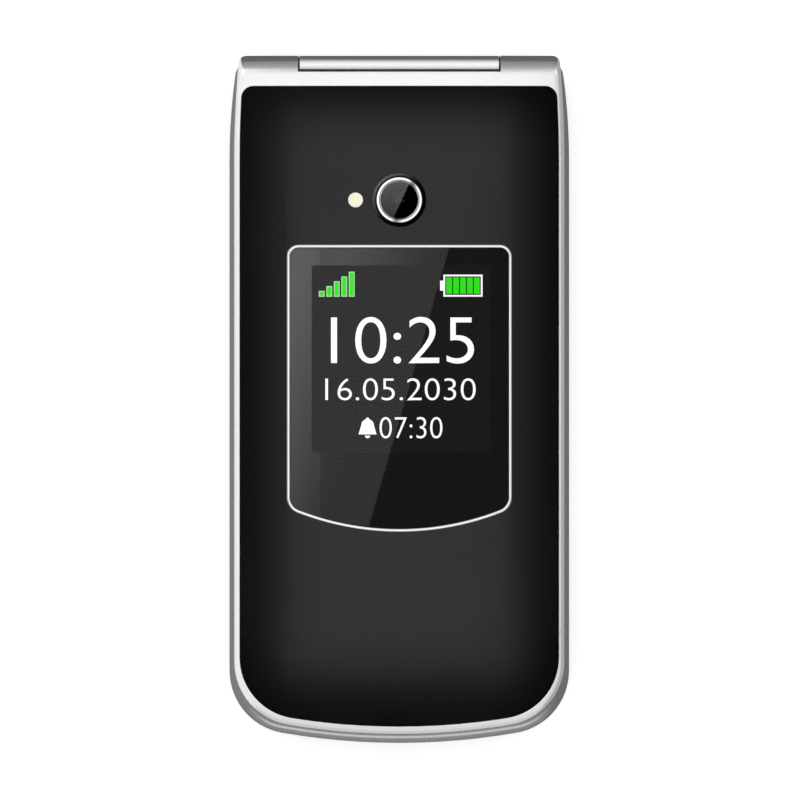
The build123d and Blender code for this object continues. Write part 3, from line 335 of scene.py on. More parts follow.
@dataclass(frozen=True)
class Finish:
    """An opaque finish: its colour, polish, relief and wear."""

    name: str
    colour: Point
    roughness: float
    metallic: float = 0.0
    specular: float = 0.5
    texture: Texture = Texture.MOULDED
    scale: float = 4000.0
    relief: float = 0.004
    mottle: float = 0.06
    spread: float = 0.05
    coat: float = 0.0
    coat_roughness: float = 0.05
    wear: float = 0.0
    wear_dulls: float = 0.2
    roll_start: float = 0.0
    roll_radius: float = 0.0

    def build(self) -> Material:
        """Builds the material.

        Returns:
            The finished material.
        """
        material, graph, shader = new_material(self.name, {
            "Metallic": self.metallic, "Specular IOR Level": self.specular,
            "Coat Weight": self.coat, "Coat Roughness": self.coat_roughness,
        })
        place = graph.place()
        grain = graph.use(
            EFFECTS.relief[self.texture], {"Vector": place, "Scale": self.scale, "Mottle": self.mottle}
        ).outputs
        rubbed = {"Vector": place, "Roughness": self.roughness, "Spread": self.spread}
        polish = graph.use(EFFECTS.handling, rubbed).outputs["Roughness"]
        tone = grain["Tone"]
        if self.wear:
            mask = graph.use(EFFECTS.wear, {"Vector": place}).outputs["Mask"]
            worn = graph.math("MULTIPLY", mask, self.wear)
            polish = graph.math("ADD", polish, graph.math("MULTIPLY", worn, self.wear_dulls))
            tone = graph.math("MULTIPLY", tone, graph.math("ADD", worn, 1.0))
        relief = {"Distance": self.relief * MM, "Height": grain["Height"]}
        if self.roll_radius:
            relief["Normal"] = self.hinge_end_roll(graph)
        colour, bump = graph.scaled(self.colour, tone), graph.add("Bump", relief).outputs["Normal"]
        graph.feed(shader, {"Base Color": colour, "Roughness": polish, "Normal": bump})
        return material

    def hinge_end_roll(self, graph: Graph) -> Value:
        """Lets the surface fall away gently near the hinge end.

        Args:
            graph: Filler of the material's tree.

        Returns:
            Normal of the falling surface.
        """
        past = graph.math("MAXIMUM", graph.math("SUBTRACT", graph.axis("Y"), self.roll_start), 0.0)
        fall = graph.math("MULTIPLY", graph.math("POWER", past, 2.0), -0.5 / self.roll_radius)
        return graph.add("Bump", {"Distance": 1.0, "Height": fall}).outputs["Normal"]


@dataclass(frozen=True)
class GlassFinish:
    """A clear finish: its tint and how clean it is."""

    name: str
    tint: Point = (0.97, 0.98, 0.98)
    ior: float = 1.5
    smear: float = 0.004
    smear_scale: float = 70.0

    def build(self) -> Material:
        """Builds the material.

        Returns:
            The finished material.
        """
        inputs = {"Base Color": (*self.tint, 1.0), "IOR": self.ior, "Transmission Weight": 1.0}
        material, graph, shader = new_material(self.name, inputs)
        smears = graph.noise(self.smear_scale, 5.0, graph.place())
        graph.feed(shader, {"Roughness": graph.ranged(smears, (0.5, 0.85), (0.0, self.smear))})
        return material


@dataclass(frozen=True)
class LitFinish:
    """A picture element of a display, print that shines, and the painted red reflection on the camera lens:
    flat colour that gives light.
    """

    name: str
    colour: Point
    strength: float
    falloff: float = 0.04
    cloud_scale: float = 120.0

    def build(self) -> Material:
        """Builds the material.

        Returns:
            The finished material.
        """
        inputs = {"Base Color": BLACK, "Specular IOR Level": 0.0, "Roughness": 0.9}
        material, graph, shader = new_material(self.name, {**inputs, "Emission Strength": self.strength})
        uneven = graph.noise(self.cloud_scale, 2.0, graph.place())
        level = graph.ranged(uneven, (0.2, 0.8), (1.0 - self.falloff, 1.0))
        graph.feed(shader, {"Emission Color": graph.scaled(self.colour, level)})
        return material


AnyFinish = Finish | GlassFinish | LitFinish


def sprayed(name: str, colour: Point, roughness: float, **others: object) -> Finish:
    """Gives a sprayed paint's finish: almost smooth, with very even polish."""
    return Finish(name, colour, roughness, texture=Texture.PAINT, **{
        "scale": 9000.0, "relief": 0.0008, "mottle": 0.03, "spread": 0.015, **others})


def plated(name: str, colour: Point, roughness: float, **others: object) -> Finish:
    """Gives a bare or plated metal's finish, with fine drawn lines."""
    return Finish(name, colour, roughness, 1.0, texture=Texture.BRUSHED, **{"relief": 0.002, **others})


def gloss(name: str, colour: Point, roughness: float = 0.02, **others: object) -> Finish:
    """Gives a glossy print's finish, with hardly any relief."""
    return sprayed(name, colour, roughness, **{"relief": 0.00001, "spread": 0.004, **others})


LID_SILVER = sprayed("lid_silver", (0.74, 0.745, 0.75), 0.24, metallic=1.0, wear=0.12)
BASE_SILVER = sprayed("base_silver", (0.70, 0.70, 0.71), 0.26, metallic=1.0, wear=0.12)
PANEL_BLACK = gloss(
    "panel_black", (0.0008, 0.0008, 0.0010), 0.23, relief=0.0001, spread=0.01, roll_start=0.036,
    roll_radius=0.095,
)
RIM_BRIGHT = plated(
    "rim_bright", (0.97, 0.97, 0.97), 0.25, scale=9000.0, relief=0.0005, mottle=0.02, spread=0.02
)
RING_CHROME = plated(
    "ring_chrome", (0.93, 0.93, 0.94), 0.014, scale=9000.0, relief=0.00001, mottle=0.02, spread=0.002
)
COLLAR_BLACK = gloss("collar_black", (0.0008, 0.0008, 0.001), 0.16, relief=0.0001, spread=0.01)
MASK_BLACK = gloss("mask_print", (0.0085, 0.0085, 0.0092))
LENS_COATED = gloss("lens_coated", (0.004, 0.003, 0.004), specular=0.15)
SCREEN_OFF = gloss("screen_off", (0.0015, 0.0015, 0.002), 0.12)
MODULE_BLACK = Finish("module_black", (0.012, 0.012, 0.012), 0.45, relief=0.01)
BAFFLE_BLACK = Finish("baffle_black", (0.0015, 0.0015, 0.0015), 0.6, specular=0.05, relief=0.002)
GRILLE_BLACK = Finish(
    "grille_mesh", (0.03, 0.03, 0.03), 0.4, 0.6, texture=Texture.MESH, scale=3000.0, relief=0.05, mottle=0.8
)
FLASH_CREAM = Finish(
    "flash_cream", (1.0, 0.99, 0.70), 0.3, specular=1.0, relief=0.006, scale=2500.0, mottle=0.03, coat=1.0
)
FLASH_RIM = Finish("flash_rim", (1.0, 1.0, 0.97), 0.3, specular=1.0, mottle=0.02, coat=1.0)
PHOSPHOR = Finish("led_phosphor", (0.92, 0.78, 0.25), 0.6)
COVER_BLACK = Finish("cover_black", (0.014, 0.014, 0.015), 0.36, relief=0.006, scale=6000.0, wear=0.5)
REAR_BLACK = Finish("rear_black", (0.018, 0.018, 0.019), 0.42, relief=0.015, scale=3500.0, wear=0.6)
PLATE_BLACK = Finish("plate_black", (0.010, 0.010, 0.011), 0.2, relief=0.0006, coat=0.3, wear=0.4)
KEY_BLACK = Finish("key_black", (0.020, 0.020, 0.022), 0.3, relief=0.002, scale=6000.0, wear=0.8)
RUBBER = Finish("bumper_rubber", (0.03, 0.03, 0.03), 0.75, relief=0.02)
SCREW_STEEL = plated("screw_steel", (0.5, 0.5, 0.51), 0.3)
TINNED = plated("tinned_steel", (0.62, 0.62, 0.63), 0.28)
GOLD = Finish("gold_plate", (0.83, 0.6, 0.25), 0.2, 1.0, texture=Texture.PAINT, relief=0.001)
BOARD_GREEN = Finish("solder_mask", (0.012, 0.09, 0.04), 0.3, relief=0.01, mottle=0.3, coat=0.4)
FILM_AMBER = Finish("amber_film", (0.5, 0.22, 0.04), 0.3, coat=0.5)
FILM_WHITE = Finish("dome_film", (0.7, 0.71, 0.73), 0.35)
BATTERY_WRAP = Finish("battery_wrap", (0.09, 0.1, 0.12), 0.4, relief=0.006)
TUNGSTEN = Finish("sintered_weight", (0.33, 0.33, 0.34), 0.5, 1.0, relief=0.02)
LEGEND_WHITE = Finish("legend_white", (0.8, 0.8, 0.8), 0.5, relief=0.001)
LEGEND_GREEN = Finish("legend_green", (0.03, 0.5, 0.06), 0.5, relief=0.001)
LEGEND_RED = Finish("legend_red", (0.6, 0.02, 0.02), 0.5, relief=0.001)
WINDOW_GLASS = GlassFinish("window_glass")
LENS_GLASS = GlassFinish("lens_glass", (0.95, 0.955, 0.97))
SCREEN_GLOW = LitFinish("screen_glow", (0.0052, 0.0052, 0.0056), 1.0)
PIXEL_WHITE = LitFinish("pixel_white", (1.0, 1.0, 1.0), 1.12)
PIXEL_GREEN = LitFinish("pixel_green", (0.03, 0.78, 0.008), 1.0)
PIXEL_PALE = LitFinish("pixel_pale_green", (0.45, 0.95, 0.42), 0.85)
# Painted reflection: the faint red dot that the lens coating mirrors, made as a disc that glows.
PAINTED_LENS_GLINT = LitFinish("painted_lens_glint", (0.06, 0.004, 0.006), 1.0)

FINISHED_NODES: tuple[tuple[AnyFinish, str], ...] = (
    (LID_SILVER, "lid_frame"),
    (PANEL_BLACK, "lid_front_panel"),
    (RIM_BRIGHT, "window_rim"),
    (WINDOW_GLASS, "outer_window inner_window"),
    (MODULE_BLACK, "outer_display camera_module inner_display"),
    (RING_CHROME, "camera_ring"),
    (LENS_GLASS, "camera_window"),
    (FLASH_CREAM, "flash_lens"),
    (PHOSPHOR, "flash_led"),
    (COVER_BLACK, "lid_inner_cover"),
    (BOARD_GREEN, "lid_circuit_board main_board"),
    (GRILLE_BLACK, "earpiece loudspeaker"),
    (RUBBER, "lid_bumpers"),
    (SCREW_STEEL, "lid_screws hinge_pin hinge_cam hinge_cartridge hinge_spring base_screws"),
    (FILM_AMBER, "hinge_flex_cable"),
    (BASE_SILVER, "front_housing nav_ring volume_key camera_key"),
    (REAR_BLACK, "rear_housing battery_cover antenna"),
    (PLATE_BLACK, "keypad_plate"),
    (FILM_WHITE, "dome_sheet"),
    (TINNED, "shield_can sim_socket microphone vibration_motor charging_socket"),
    (BATTERY_WRAP, "battery"),
    (GOLD, "battery_contacts"),
    (TUNGSTEN, "vibration_weight"),
)


class Paints:
    """Materials by finish, each built when it is first asked for."""

    def __init__(self) -> None:
        """Starts with none built."""
        self.built: dict[str, Material] = {}

    def get(self, finish: AnyFinish) -> Material:
        """Gives the material of a finish, which pieces share."""
        if finish.name not in self.built:
            self.built[finish.name] = finish.build()
        return self.built[finish.name]


PAINTS = Paints()


# ---------------------------------------------------------------- mesh helpers
def into_scene(name: str, data: bpy.types.ID) -> Piece:
    """Makes an object of a mesh, lamp, camera or text and puts it in the scene."""
    thing = bpy.data.objects.new(name, data)
    bpy.context.scene.collection.objects.link(thing)
    return thing


def new_object(bm: BMesh, name: str, materials: list[Material]) -> Piece:
    """Turns a bmesh into an object.

    Args:
        bm: The shape, in metres, where it belongs. It is freed.
        name: Name of the object.
        materials: Its materials.

    Returns:
        The object.
    """
    mesh = bpy.data.meshes.new(name)
    bm.to_mesh(mesh)
    bm.free()
    for material in materials:
        mesh.materials.append(material)
    return into_scene(name, mesh)


def finish_piece(
    bm: BMesh, name: str, finish: AnyFinish, body: str, crease: float = 35.0, replaced: str = ""
) -> Piece:
    """Turns a bmesh into a piece that rides on a body.

    Args:
        bm: The shape, in metres, where it belongs. It is freed.
        name: Name of the piece.
        finish: What it is covered with.
        body: CAD body that it moves with.
        crease: Edges sharper than this many degrees stay sharp.
        replaced: CAD node that it stands for, if any.

    Returns:
        The new object.
    """
    bmesh.ops.remove_doubles(bm, verts=bm.verts, dist=WELD)
    bmesh.ops.recalc_face_normals(bm, faces=bm.faces)
    piece = new_object(bm, name, [PAINTS.get(finish)])
    piece.data.shade_smooth()
    piece.data.set_sharp_from_angle(angle=math.radians(crease))
    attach(piece, body)
    if replaced:
        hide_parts(replaced)
    return piece


def box_of(node: str) -> tuple[Vector, Vector]:
    """Gives the low and the high corner of a CAD node, in millimetres."""
    low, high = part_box(node)
    return low / MM, high / MM


def verts_of(made: list[object]) -> list[bmesh.types.BMVert]:
    """Picks the vertices out of what an operator made."""
    return [thing for thing in made if isinstance(thing, bmesh.types.BMVert)]


def loop_edges(bm: BMesh, outline: list[Pair], level: float) -> list[bmesh.types.BMEdge]:
    """Adds a closed line of edges.

    Args:
        bm: Shape that it is added to.
        outline: Its corners in order, in millimetres.
        level: Its height, in millimetres.

    Returns:
        The edges.
    """
    ring = [bm.verts.new(Vector((x, y, level)) * MM) for x, y in outline]
    return [bm.edges.new(pair) for pair in zip(ring, ring[1:] + ring[:1])]


def bevel_edges(bm: BMesh, edges: list[bmesh.types.BMEdge], width: float, segments: int) -> None:
    """Rounds edges of a shape, by a width in millimetres."""
    bmesh.ops.bevel(
        bm, geom=edges, offset=width * MM, offset_type="OFFSET", segments=segments, profile=0.5,
        affect="EDGES", material=-1,
    )


def add_plate(bm: BMesh, size: Point, centre: Point, corner: float = 0.0, turn: float = 0.0) -> None:
    """Adds a rectangular plate, with rounded corners where asked.

    Args:
        bm: Shape that it is added to.
        size: Width, length and thickness in millimetres.
        centre: Middle of its underside, in millimetres.
        corner: Radius of its upright corners, in millimetres.
        turn: Degrees that it is turned by about its middle.
    """
    place = Matrix.Translation(Vector((centre[0], centre[1], centre[2] + size[2] / 2)) * MM)
    spun = Matrix.Rotation(math.radians(turn), 4, "Z")
    stretch = Matrix.Diagonal((*(Vector(size) * MM), 1.0))
    made = bmesh.ops.create_cube(bm, size=1.0, matrix=place @ spun @ stretch)["verts"]
    if corner:
        edges = {e for v in made for e in v.link_edges}
        upright = [e for e in edges if abs(e.verts[0].co.z - e.verts[1].co.z) > WELD]
        bevel_edges(bm, upright, corner, CORNER_FACETS)


def add_turned(bm: BMesh, profile: list[Pair], centre: Pair, steps: int = 96, closed: bool = True) -> None:
    """Adds a shape turned about an upright line.

    Args:
        bm: Shape that it is added to.
        profile: Radius and height pairs in millimetres.
        centre: Place of the line, in millimetres.
        steps: Facets round it.
        closed: Whether the last point joins the first. It doesn't where both lie on the line.
    """
    line = [bm.verts.new(Vector((centre[0] + r, centre[1], z)) * MM) for r, z in profile]
    pairs = list(zip(line, line[1:])) + ([(line[-1], line[0])] if closed else [])
    edges = [bm.edges.new(pair) for pair in pairs]
    bmesh.ops.spin(
        bm, geom=line + edges, cent=Vector((*centre, 0.0)) * MM, axis=(0, 0, 1), angle=2 * math.pi,
        steps=steps, use_merge=True,
    )


def arc(centre: Pair, radius: float, start: float, end: float, steps: int = 12) -> list[Pair]:
    """Gives points on an arc, from one angle in degrees to another."""
    angles = (math.radians(start + (end - start) * n / steps) for n in range(steps + 1))
    return [(centre[0] + radius * math.cos(a), centre[1] + radius * math.sin(a)) for a in angles]


def turned_about(outline: list[Pair], degrees: float, place: Pair) -> list[Pair]:
    """Turns an outline anticlockwise about the origin, then moves the origin to a place."""
    cos, sin = math.cos(math.radians(degrees)), math.sin(math.radians(degrees))
    return [(place[0] + x * cos - y * sin, place[1] + x * sin + y * cos) for x, y in outline]


def slice_copy(node: str, plane: float, keep_below: bool, inset: float, about: Pair) -> BMesh:
    """Copies a thin slice from the flat face of a CAD pane.

    Args:
        node: Name of the pane's node.
        plane: Height of the cut, in millimetres.
        keep_below: Whether the lower part is kept.
        inset: Part of its size that it shrinks by.
        about: Point that it shrinks towards, in millimetres.

    Returns:
        The slice, closed.
    """
    bm = bmesh.new()
    bm.from_mesh(frame["nodes"][node].data)
    bmesh.ops.remove_doubles(bm, verts=bm.verts, dist=WELD)
    bmesh.ops.bisect_plane(
        bm, geom=bm.verts[:] + bm.edges[:] + bm.faces[:], plane_co=(0, 0, plane * MM),
        plane_no=(0, 0, 1 if keep_below else -1), clear_outer=True,
    )
    bmesh.ops.holes_fill(bm, edges=[e for e in bm.edges if e.is_boundary])
    centre = Matrix.Translation(Vector((-about[0], -about[1], 0.0)) * MM)
    bmesh.ops.scale(bm, verts=bm.verts, vec=(1 - inset, 1 - inset, 1.0), space=centre)
    return bm


@dataclass
class Ink:
    """Flat print at one level, added to a shape. All its sizes are in millimetres."""

    bm: BMesh
    level: float
    rise: float

    def plate(self, size: Pair, centre: Pair, corner: float = 0.0, turn: float = 0.0) -> None:
        """Adds a rectangle."""
        add_plate(self.bm, (*size, self.rise), (*centre, self.level), corner, turn)

    def sheet(self, outline: list[Pair]) -> None:
        """Adds a shape of any outline.

        Args:
            outline: Its corners in order.
        """
        face = self.bm.faces.new([self.bm.verts.new(Vector((x, y, self.level)) * MM) for x, y in outline])
        grown = bmesh.ops.extrude_face_region(self.bm, geom=[face], use_keep_orig=True)["geom"]
        bmesh.ops.translate(self.bm, verts=verts_of(grown), vec=(0, 0, self.rise * MM))

    def text(self, text: str, box: Box, weight: float = 0.0) -> None:
        """Adds digits or signs that fill a box.

        Args:
            text: The digits.
            box: Middle across, foot along, width and height. A width of 0 keeps the digits' own shape.
            weight: How much fuller the strokes are than usual, in parts of the digit size.
        """
        curve = bpy.data.curves.new("digits", "FONT")
        curve.body = text
        curve.extrude = 0.5
        curve.offset = weight
        curve.resolution_u = 6
        holder = into_scene("digits", curve)
        bpy.context.view_layer.update()
        flat = bpy.data.meshes.new_from_object(holder.evaluated_get(bpy.context.evaluated_depsgraph_get()))
        bpy.data.objects.remove(holder)
        bpy.data.curves.remove(curve)
        (left, right), (low, high) = (
            (min(line), max(line)) for line in zip(*((v.co.x, v.co.y) for v in flat.vertices))
        )
        middle, foot, width, height = box
        tall = height / (high - low)
        wide = width / (right - left) if width else tall
        flat.transform(
            Matrix.Translation(Vector((middle, foot, self.level + self.rise / 2)) * MM)
            @ Matrix.Diagonal((wide * MM, tall * MM, self.rise * MM, 1.0))
            @ Matrix.Translation((-(left + right) / 2, -low, 0.0))
        )
        self.bm.from_mesh(flat)
        bpy.data.meshes.remove(flat)


# ---------------------------------------------------------------- sub-assemblies
@dataclass
class CadDress:
    """Finishes of the CAD nodes that stay in sight."""

    finished: tuple[tuple[AnyFinish, str], ...] = FINISHED_NODES
    others: Finish = KEY_BLACK

    def dress(self) -> int:
        """Puts each node's finish in its material slot.

        Returns:
            How many nodes were dressed.
        """
        finishes = {name: finish for finish, names in self.finished for name in names.split()}
        for name, node in frame["nodes"].items():
            node.material_slots[0].material = PAINTS.get(finishes.get(name, self.others))
        return len(frame["nodes"])


@dataclass
class SignalIcon:
    """Rising bars of a signal meter."""

    left: float = -11.9
    foot: float = 15.55
    bar_width: float = 0.6
    pitch: float = 1.12
    first: float = 0.6
    step: float = 0.72
    count: int = 5
    outline: float = 0.14

    def draw(self, ink: Ink, grow: float = 0.0) -> None:
        """Adds the bars.

        Args:
            ink: Print that they are added to.
            grow: How much wider each is all round.
        """
        for place in range(self.count):
            height = self.first + place * self.step
            centre = (self.left + self.bar_width / 2 + place * self.pitch, self.foot + height / 2)
            ink.plate((self.bar_width + 2 * grow, height + 2 * grow), centre)


@dataclass
class BatteryIcon:
    """Full battery sign."""

    left: float = 6.6
    right: float = 12.45
    foot: float = 15.42
    top: float = 18.72
    line: float = 0.26
    nub: Pair = (0.5, 1.5)
    gap: float = 0.16
    cells: int = 5

    def outline(self, ink: Ink) -> None:
        """Adds the outline and the nub at its left.

        Args:
            ink: Print that they are added to.
        """
        middle_x, middle_y = (self.left + self.right) / 2, (self.foot + self.top) / 2
        for y in (self.foot + self.line / 2, self.top - self.line / 2):
            ink.plate((self.right - self.left, self.line), (middle_x, y))
        for x in (self.left + self.line / 2, self.right - self.line / 2):
            ink.plate((self.line, self.top - self.foot - 2 * self.line), (x, middle_y))
        ink.plate(self.nub, (self.left - self.nub[0] / 2, middle_y))

    def charge(self, ink: Ink) -> None:
        """Adds the cells.

        Args:
            ink: Print that they are added to.
        """
        pitch = (self.right - self.left - 2 * self.line - self.gap) / self.cells
        height = self.top - self.foot - 2 * self.line - 2 * self.gap
        for place in range(self.cells):
            x = self.left + self.line + self.gap / 2 + pitch * (place + 0.5)
            ink.plate((pitch - self.gap, height), (x, (self.foot + self.top) / 2))


@dataclass
class BellIcon:
    """Small bell that marks the alarm time. The round parts have their middle's height and their radius."""

    place: Pair = (-4.75, -5.8)
    skirt: Pair = (1.35, 0.6)
    dome: Pair = (1.95, 0.95)
    clapper: Pair = (0.42, 0.4)
    loop: Pair = (2.85, 0.28)

    def draw(self, ink: Ink) -> None:
        """Adds the bell.

        Args:
            ink: Print that it is added to.
        """
        x, y = self.place
        half, level = self.skirt
        dome, clapper, loop = (((x, y + part[0]), part[1]) for part in (self.dome, self.clapper, self.loop))
        ink.sheet([(x - half, y + level), (x + half, y + level), *arc(*dome, 0.0, 180.0)])
        ink.sheet(arc(*clapper, 180.0, 360.0, 8))
        ink.sheet(arc(*loop, 0.0, 345.0, 8))


@dataclass
class OuterScreen:
    """What shows through the window in the lid: printed mask, lit face, digits and signs."""

    floor: float = 17.9
    lift: float = 0.004
    inset: float = 0.001
    mask: float = 0.03
    layer: float = 0.012
    meter_rise: float = 1.6
    meter_edge_drop: float = 0.4
    trim_edge: float = 0.09
    sharp_angle: float = 1.0
    upward: float = 0.7
    face_size: Pair = (26.7, 28.0)
    face_middle: Pair = (0.25, 6.1)
    face_corner: float = 0.3
    window_middle: Pair = (0.0, 1.8)
    texts: tuple[tuple[str, Box, float], ...] = (
        ("10:25", (0.48, 5.4, 21.4, 7.0), -0.008),
        ("16.05.2030", (0.18, -0.1, 22.5, 3.3), -0.012),
        ("07:30", (1.75, -5.8, 9.4, 3.2), -0.012),
    )
    signal: SignalIcon = field(default_factory=SignalIcon)
    battery: BatteryIcon = field(default_factory=BatteryIcon)
    bell: BellIcon = field(default_factory=BellIcon)

    def print_mask(self) -> Piece:
        """Builds the black print on the back of the glass, to the outline of the glass."""
        bm = slice_copy("outer_window", self.floor + self.mask, True, self.inset, self.window_middle)
        bmesh.ops.translate(bm, verts=bm.verts, vec=(0, 0, self.lift * MM))
        return finish_piece(bm, "outer_screen_mask", MASK_BLACK, "lid")

    def trim(self) -> Piece:
        """Builds the bright line round the window, with its edges broken, which stands for the CAD one.

        Returns:
            The line.
        """
        bm = slice_copy("window_rim", self.floor, False, 0.0, (0.0, 0.0))
        bm.normal_update()
        sharp = [e for e in bm.edges if len(e.link_faces) == 2 and e.calc_face_angle() > self.sharp_angle]
        top = [e for e in sharp if max(f.normal.z for f in e.link_faces) > self.upward]
        bevel_edges(bm, top, self.trim_edge, 2)
        return finish_piece(bm, "window_bright_line", RIM_BRIGHT, "lid", 30.0, "window_rim")

    def face(self) -> Piece:
        """Builds the faintly lit face of the display."""
        bm = bmesh.new()
        ink = Ink(bm, self.floor + self.mask + self.layer, self.layer)
        ink.plate(self.face_size, self.face_middle, self.face_corner)
        return finish_piece(bm, "outer_screen_face", SCREEN_GLOW, "lid")

    def figures(self) -> list[Piece]:
        """Builds the digits and signs.

        Returns:
            The pieces made.
        """
        level = self.floor + self.mask + 3 * self.layer
        white, green, pale = bmesh.new(), bmesh.new(), bmesh.new()
        ink = Ink(white, level, self.layer)
        for text, box, weight in self.texts:
            ink.text(text, box, weight)
        self.bell.draw(ink)
        self.battery.outline(ink)
        edge_level = level - self.meter_edge_drop * self.layer
        self.signal.draw(Ink(pale, edge_level, self.layer), self.signal.outline)
        self.signal.draw(Ink(green, level, self.meter_rise * self.layer))
        self.battery.charge(Ink(green, level, self.layer))
        return [
            finish_piece(white, "outer_screen_figures", PIXEL_WHITE, "lid"),
            finish_piece(pale, "outer_screen_meter_edges", PIXEL_PALE, "lid"),
            finish_piece(green, "outer_screen_meters", PIXEL_GREEN, "lid"),
        ]

    def build(self) -> list[Piece]:
        """Builds the whole face."""
        return [self.print_mask(), self.trim(), self.face(), *self.figures()]


@dataclass
class InnerScreen:
    """The print and the dark face behind the window on the lid's inner side."""

    plane: float = 11.74
    inset: float = 0.002
    drop: float = 0.01
    window_middle: Pair = (0.0, -6.0)
    face_level: float = 11.72
    face_size: Pair = (36.0, 48.0)
    face_middle: Pair = (0.0, -5.0)
    face_corner: float = 0.2
    layer: float = 0.01

    def build(self) -> list[Piece]:
        """Builds the screen, which is off.

        Returns:
            Its pieces.
        """
        mask = slice_copy("inner_window", self.plane, False, self.inset, self.window_middle)
        face = bmesh.new()
        bmesh.ops.translate(mask, verts=mask.verts, vec=(0, 0, -self.drop * MM))
        Ink(face, self.face_level, self.layer).plate(self.face_size, self.face_middle, self.face_corner)
        return [
            finish_piece(mask, "inner_screen_mask", MASK_BLACK, "lid"),
            finish_piece(face, "inner_screen_face", SCREEN_OFF, "lid"),
        ]


@dataclass
class Camera:
    """The camera's turned ring, cover glass and lens, with the flash beside it.

    Profiles are pairs of a radius and a height, in millimetres. Those of the flash are counted from its
    lens's rim and top.
    """

    centre: Pair = (0.0, 29.9)
    outer: float = 3.5
    inner: float = 2.9
    ledge: float = 0.49
    foot: float = 17.1
    seat: float = 17.9
    crest: float = 19.5
    lean: float = 0.1
    crest_edge: Pair = (0.04, 0.03)
    dish_floor: float = 19.0
    facets: int = 128
    collar_sides: Pair = (0.05, 0.58)
    collar_slope: tuple[Pair, ...] = ((0.0, -0.12), (-0.35, -0.025), (-0.42, -0.008))
    collar_drop: float = 0.05
    glass: tuple[Pair, ...] = (
        (0.0, 18.35), (2.8, 18.35), (2.85, 18.4), (2.85, 18.65), (2.8, 18.7), (0.0, 18.7),
    )
    baffle: tuple[Pair, ...] = (
        (2.84, 17.9), (2.84, 18.3), (2.4, 18.3), (2.3, 18.22), (1.9, 18.22), (1.8, 18.14), (1.35, 18.14),
        (1.2, 18.02), (1.2, 17.9),
    )
    dome: Point = (1.18, 17.92, 0.22)
    # Profile and place of the painted reflection: a red disc that glows on the lens and stands in for the
    # coating's reflection.
    glint: tuple[Pair, ...] = ((0.0, 18.142), (0.3, 18.14), (0.3, 18.15), (0.0, 18.152))
    glint_place: Pair = (-0.25, 29.65)
    flash_centre: Pair = (-6.55, 29.9)
    flash_radius: float = 1.09
    flash_edge: tuple[Pair, ...] = ((-0.17, -0.1), (0.0, -0.1), (0.0, 0.02), (-0.09, 0.05), (-0.17, 0.02))
    flash_rings: Point = (0.3, 0.5, 0.7)
    flash_ridge: tuple[Pair, ...] = ((0.0, -0.05), (0.12, -0.05), (0.03, 0.02))

    def wall(self, radius: float, inwards: int) -> list[Pair]:
        """Gives one leaning wall of the ring with its half of the crest's edge, from the foot up."""
        drop, edge = self.crest_edge
        steps = ((0.0, self.dish_floor), (self.lean, self.crest - drop), (self.lean + edge, self.crest))
        return [(radius + inwards * r, z) for r, z in (*steps, (self.lean + drop, self.crest))]

    def ring(self) -> Piece:
        """Builds the polished ring with its flat crest and leaning walls, which stands for the CAD one.

        Returns:
            The ring.
        """
        bm = bmesh.new()
        bore = self.inner - self.ledge
        add_turned(bm, [
            (bore, self.foot), (self.outer, self.foot), *self.wall(self.outer, -1),
            *reversed(self.wall(self.inner, 1)), (self.inner, self.seat), (bore, self.seat),
        ], self.centre, self.facets)
        return finish_piece(bm, "camera_trim_ring", RING_CHROME, "lid", 50.0, "camera_ring")

    def collar(self) -> Piece:
        """Builds the gloss collar that slopes away round the ring.

        Returns:
            The collar.
        """
        bm = bmesh.new()
        inner, outer = (self.outer + room for room in self.collar_sides)
        level = self.crest - self.collar_drop
        foot = [(inner, self.dish_floor), (outer, self.dish_floor)]
        slope = [(outer + r, level + z) for r, z in self.collar_slope]
        add_turned(bm, [*foot, *slope, (inner, level)], self.centre, self.facets)
        return finish_piece(bm, "camera_collar", COLLAR_BLACK, "lid")

    def lens(self) -> list[Piece]:
        """Builds the cover glass, which stands for the CAD one, and the baffle and lens behind it, with a
        painted reflection on the lens: a red disc that glows.

        Returns:
            The pieces made.
        """
        glass, baffle, dome, glint = bmesh.new(), bmesh.new(), bmesh.new(), bmesh.new()
        add_turned(glass, self.glass, self.centre, closed=False)
        add_turned(baffle, self.baffle, self.centre)
        reach, level, rise = self.dome
        curve = [(reach * r, level + rise * z) for r, z in arc((0.0, 0.0), 1.0, 0.0, 90.0, 8)]
        add_turned(dome, [(0.0, self.seat), *curve], self.centre, 64, closed=False)
        add_turned(glint, self.glint, self.glint_place, 32, closed=False)
        stood_for = "camera_window"
        return [
            finish_piece(glass, "camera_cover_glass", LENS_GLASS, "lid", replaced=stood_for),
            finish_piece(baffle, "camera_baffle", BAFFLE_BLACK, "lid"),
            finish_piece(dome, "camera_front_lens", LENS_COATED, "lid"),
            # Painted reflection: the glowing red dot of the lens coating.
            finish_piece(glint, "camera_painted_reflection", PAINTED_LENS_GLINT, "lid"),
        ]

    def flash(self) -> list[Piece]:
        """Builds the flash's bright rim and the rings of its lens.

        Returns:
            The pieces made.
        """
        top = box_of("flash_lens")[1].z
        rim, rings = bmesh.new(), bmesh.new()
        add_turned(rim, [(self.flash_radius + r, top + z) for r, z in self.flash_edge], self.flash_centre, 64)
        for radius in self.flash_rings:
            add_turned(rings, [(radius + r, top + z) for r, z in self.flash_ridge], self.flash_centre, 48)
        return [
            finish_piece(rim, "flash_rim", FLASH_RIM, "lid"),
            finish_piece(rings, "flash_lens_rings", FLASH_CREAM, "lid"),
        ]

    def build(self) -> list[Piece]:
        """Builds the camera and the flash."""
        return [self.ring(), self.collar(), *self.lens(), *self.flash()]


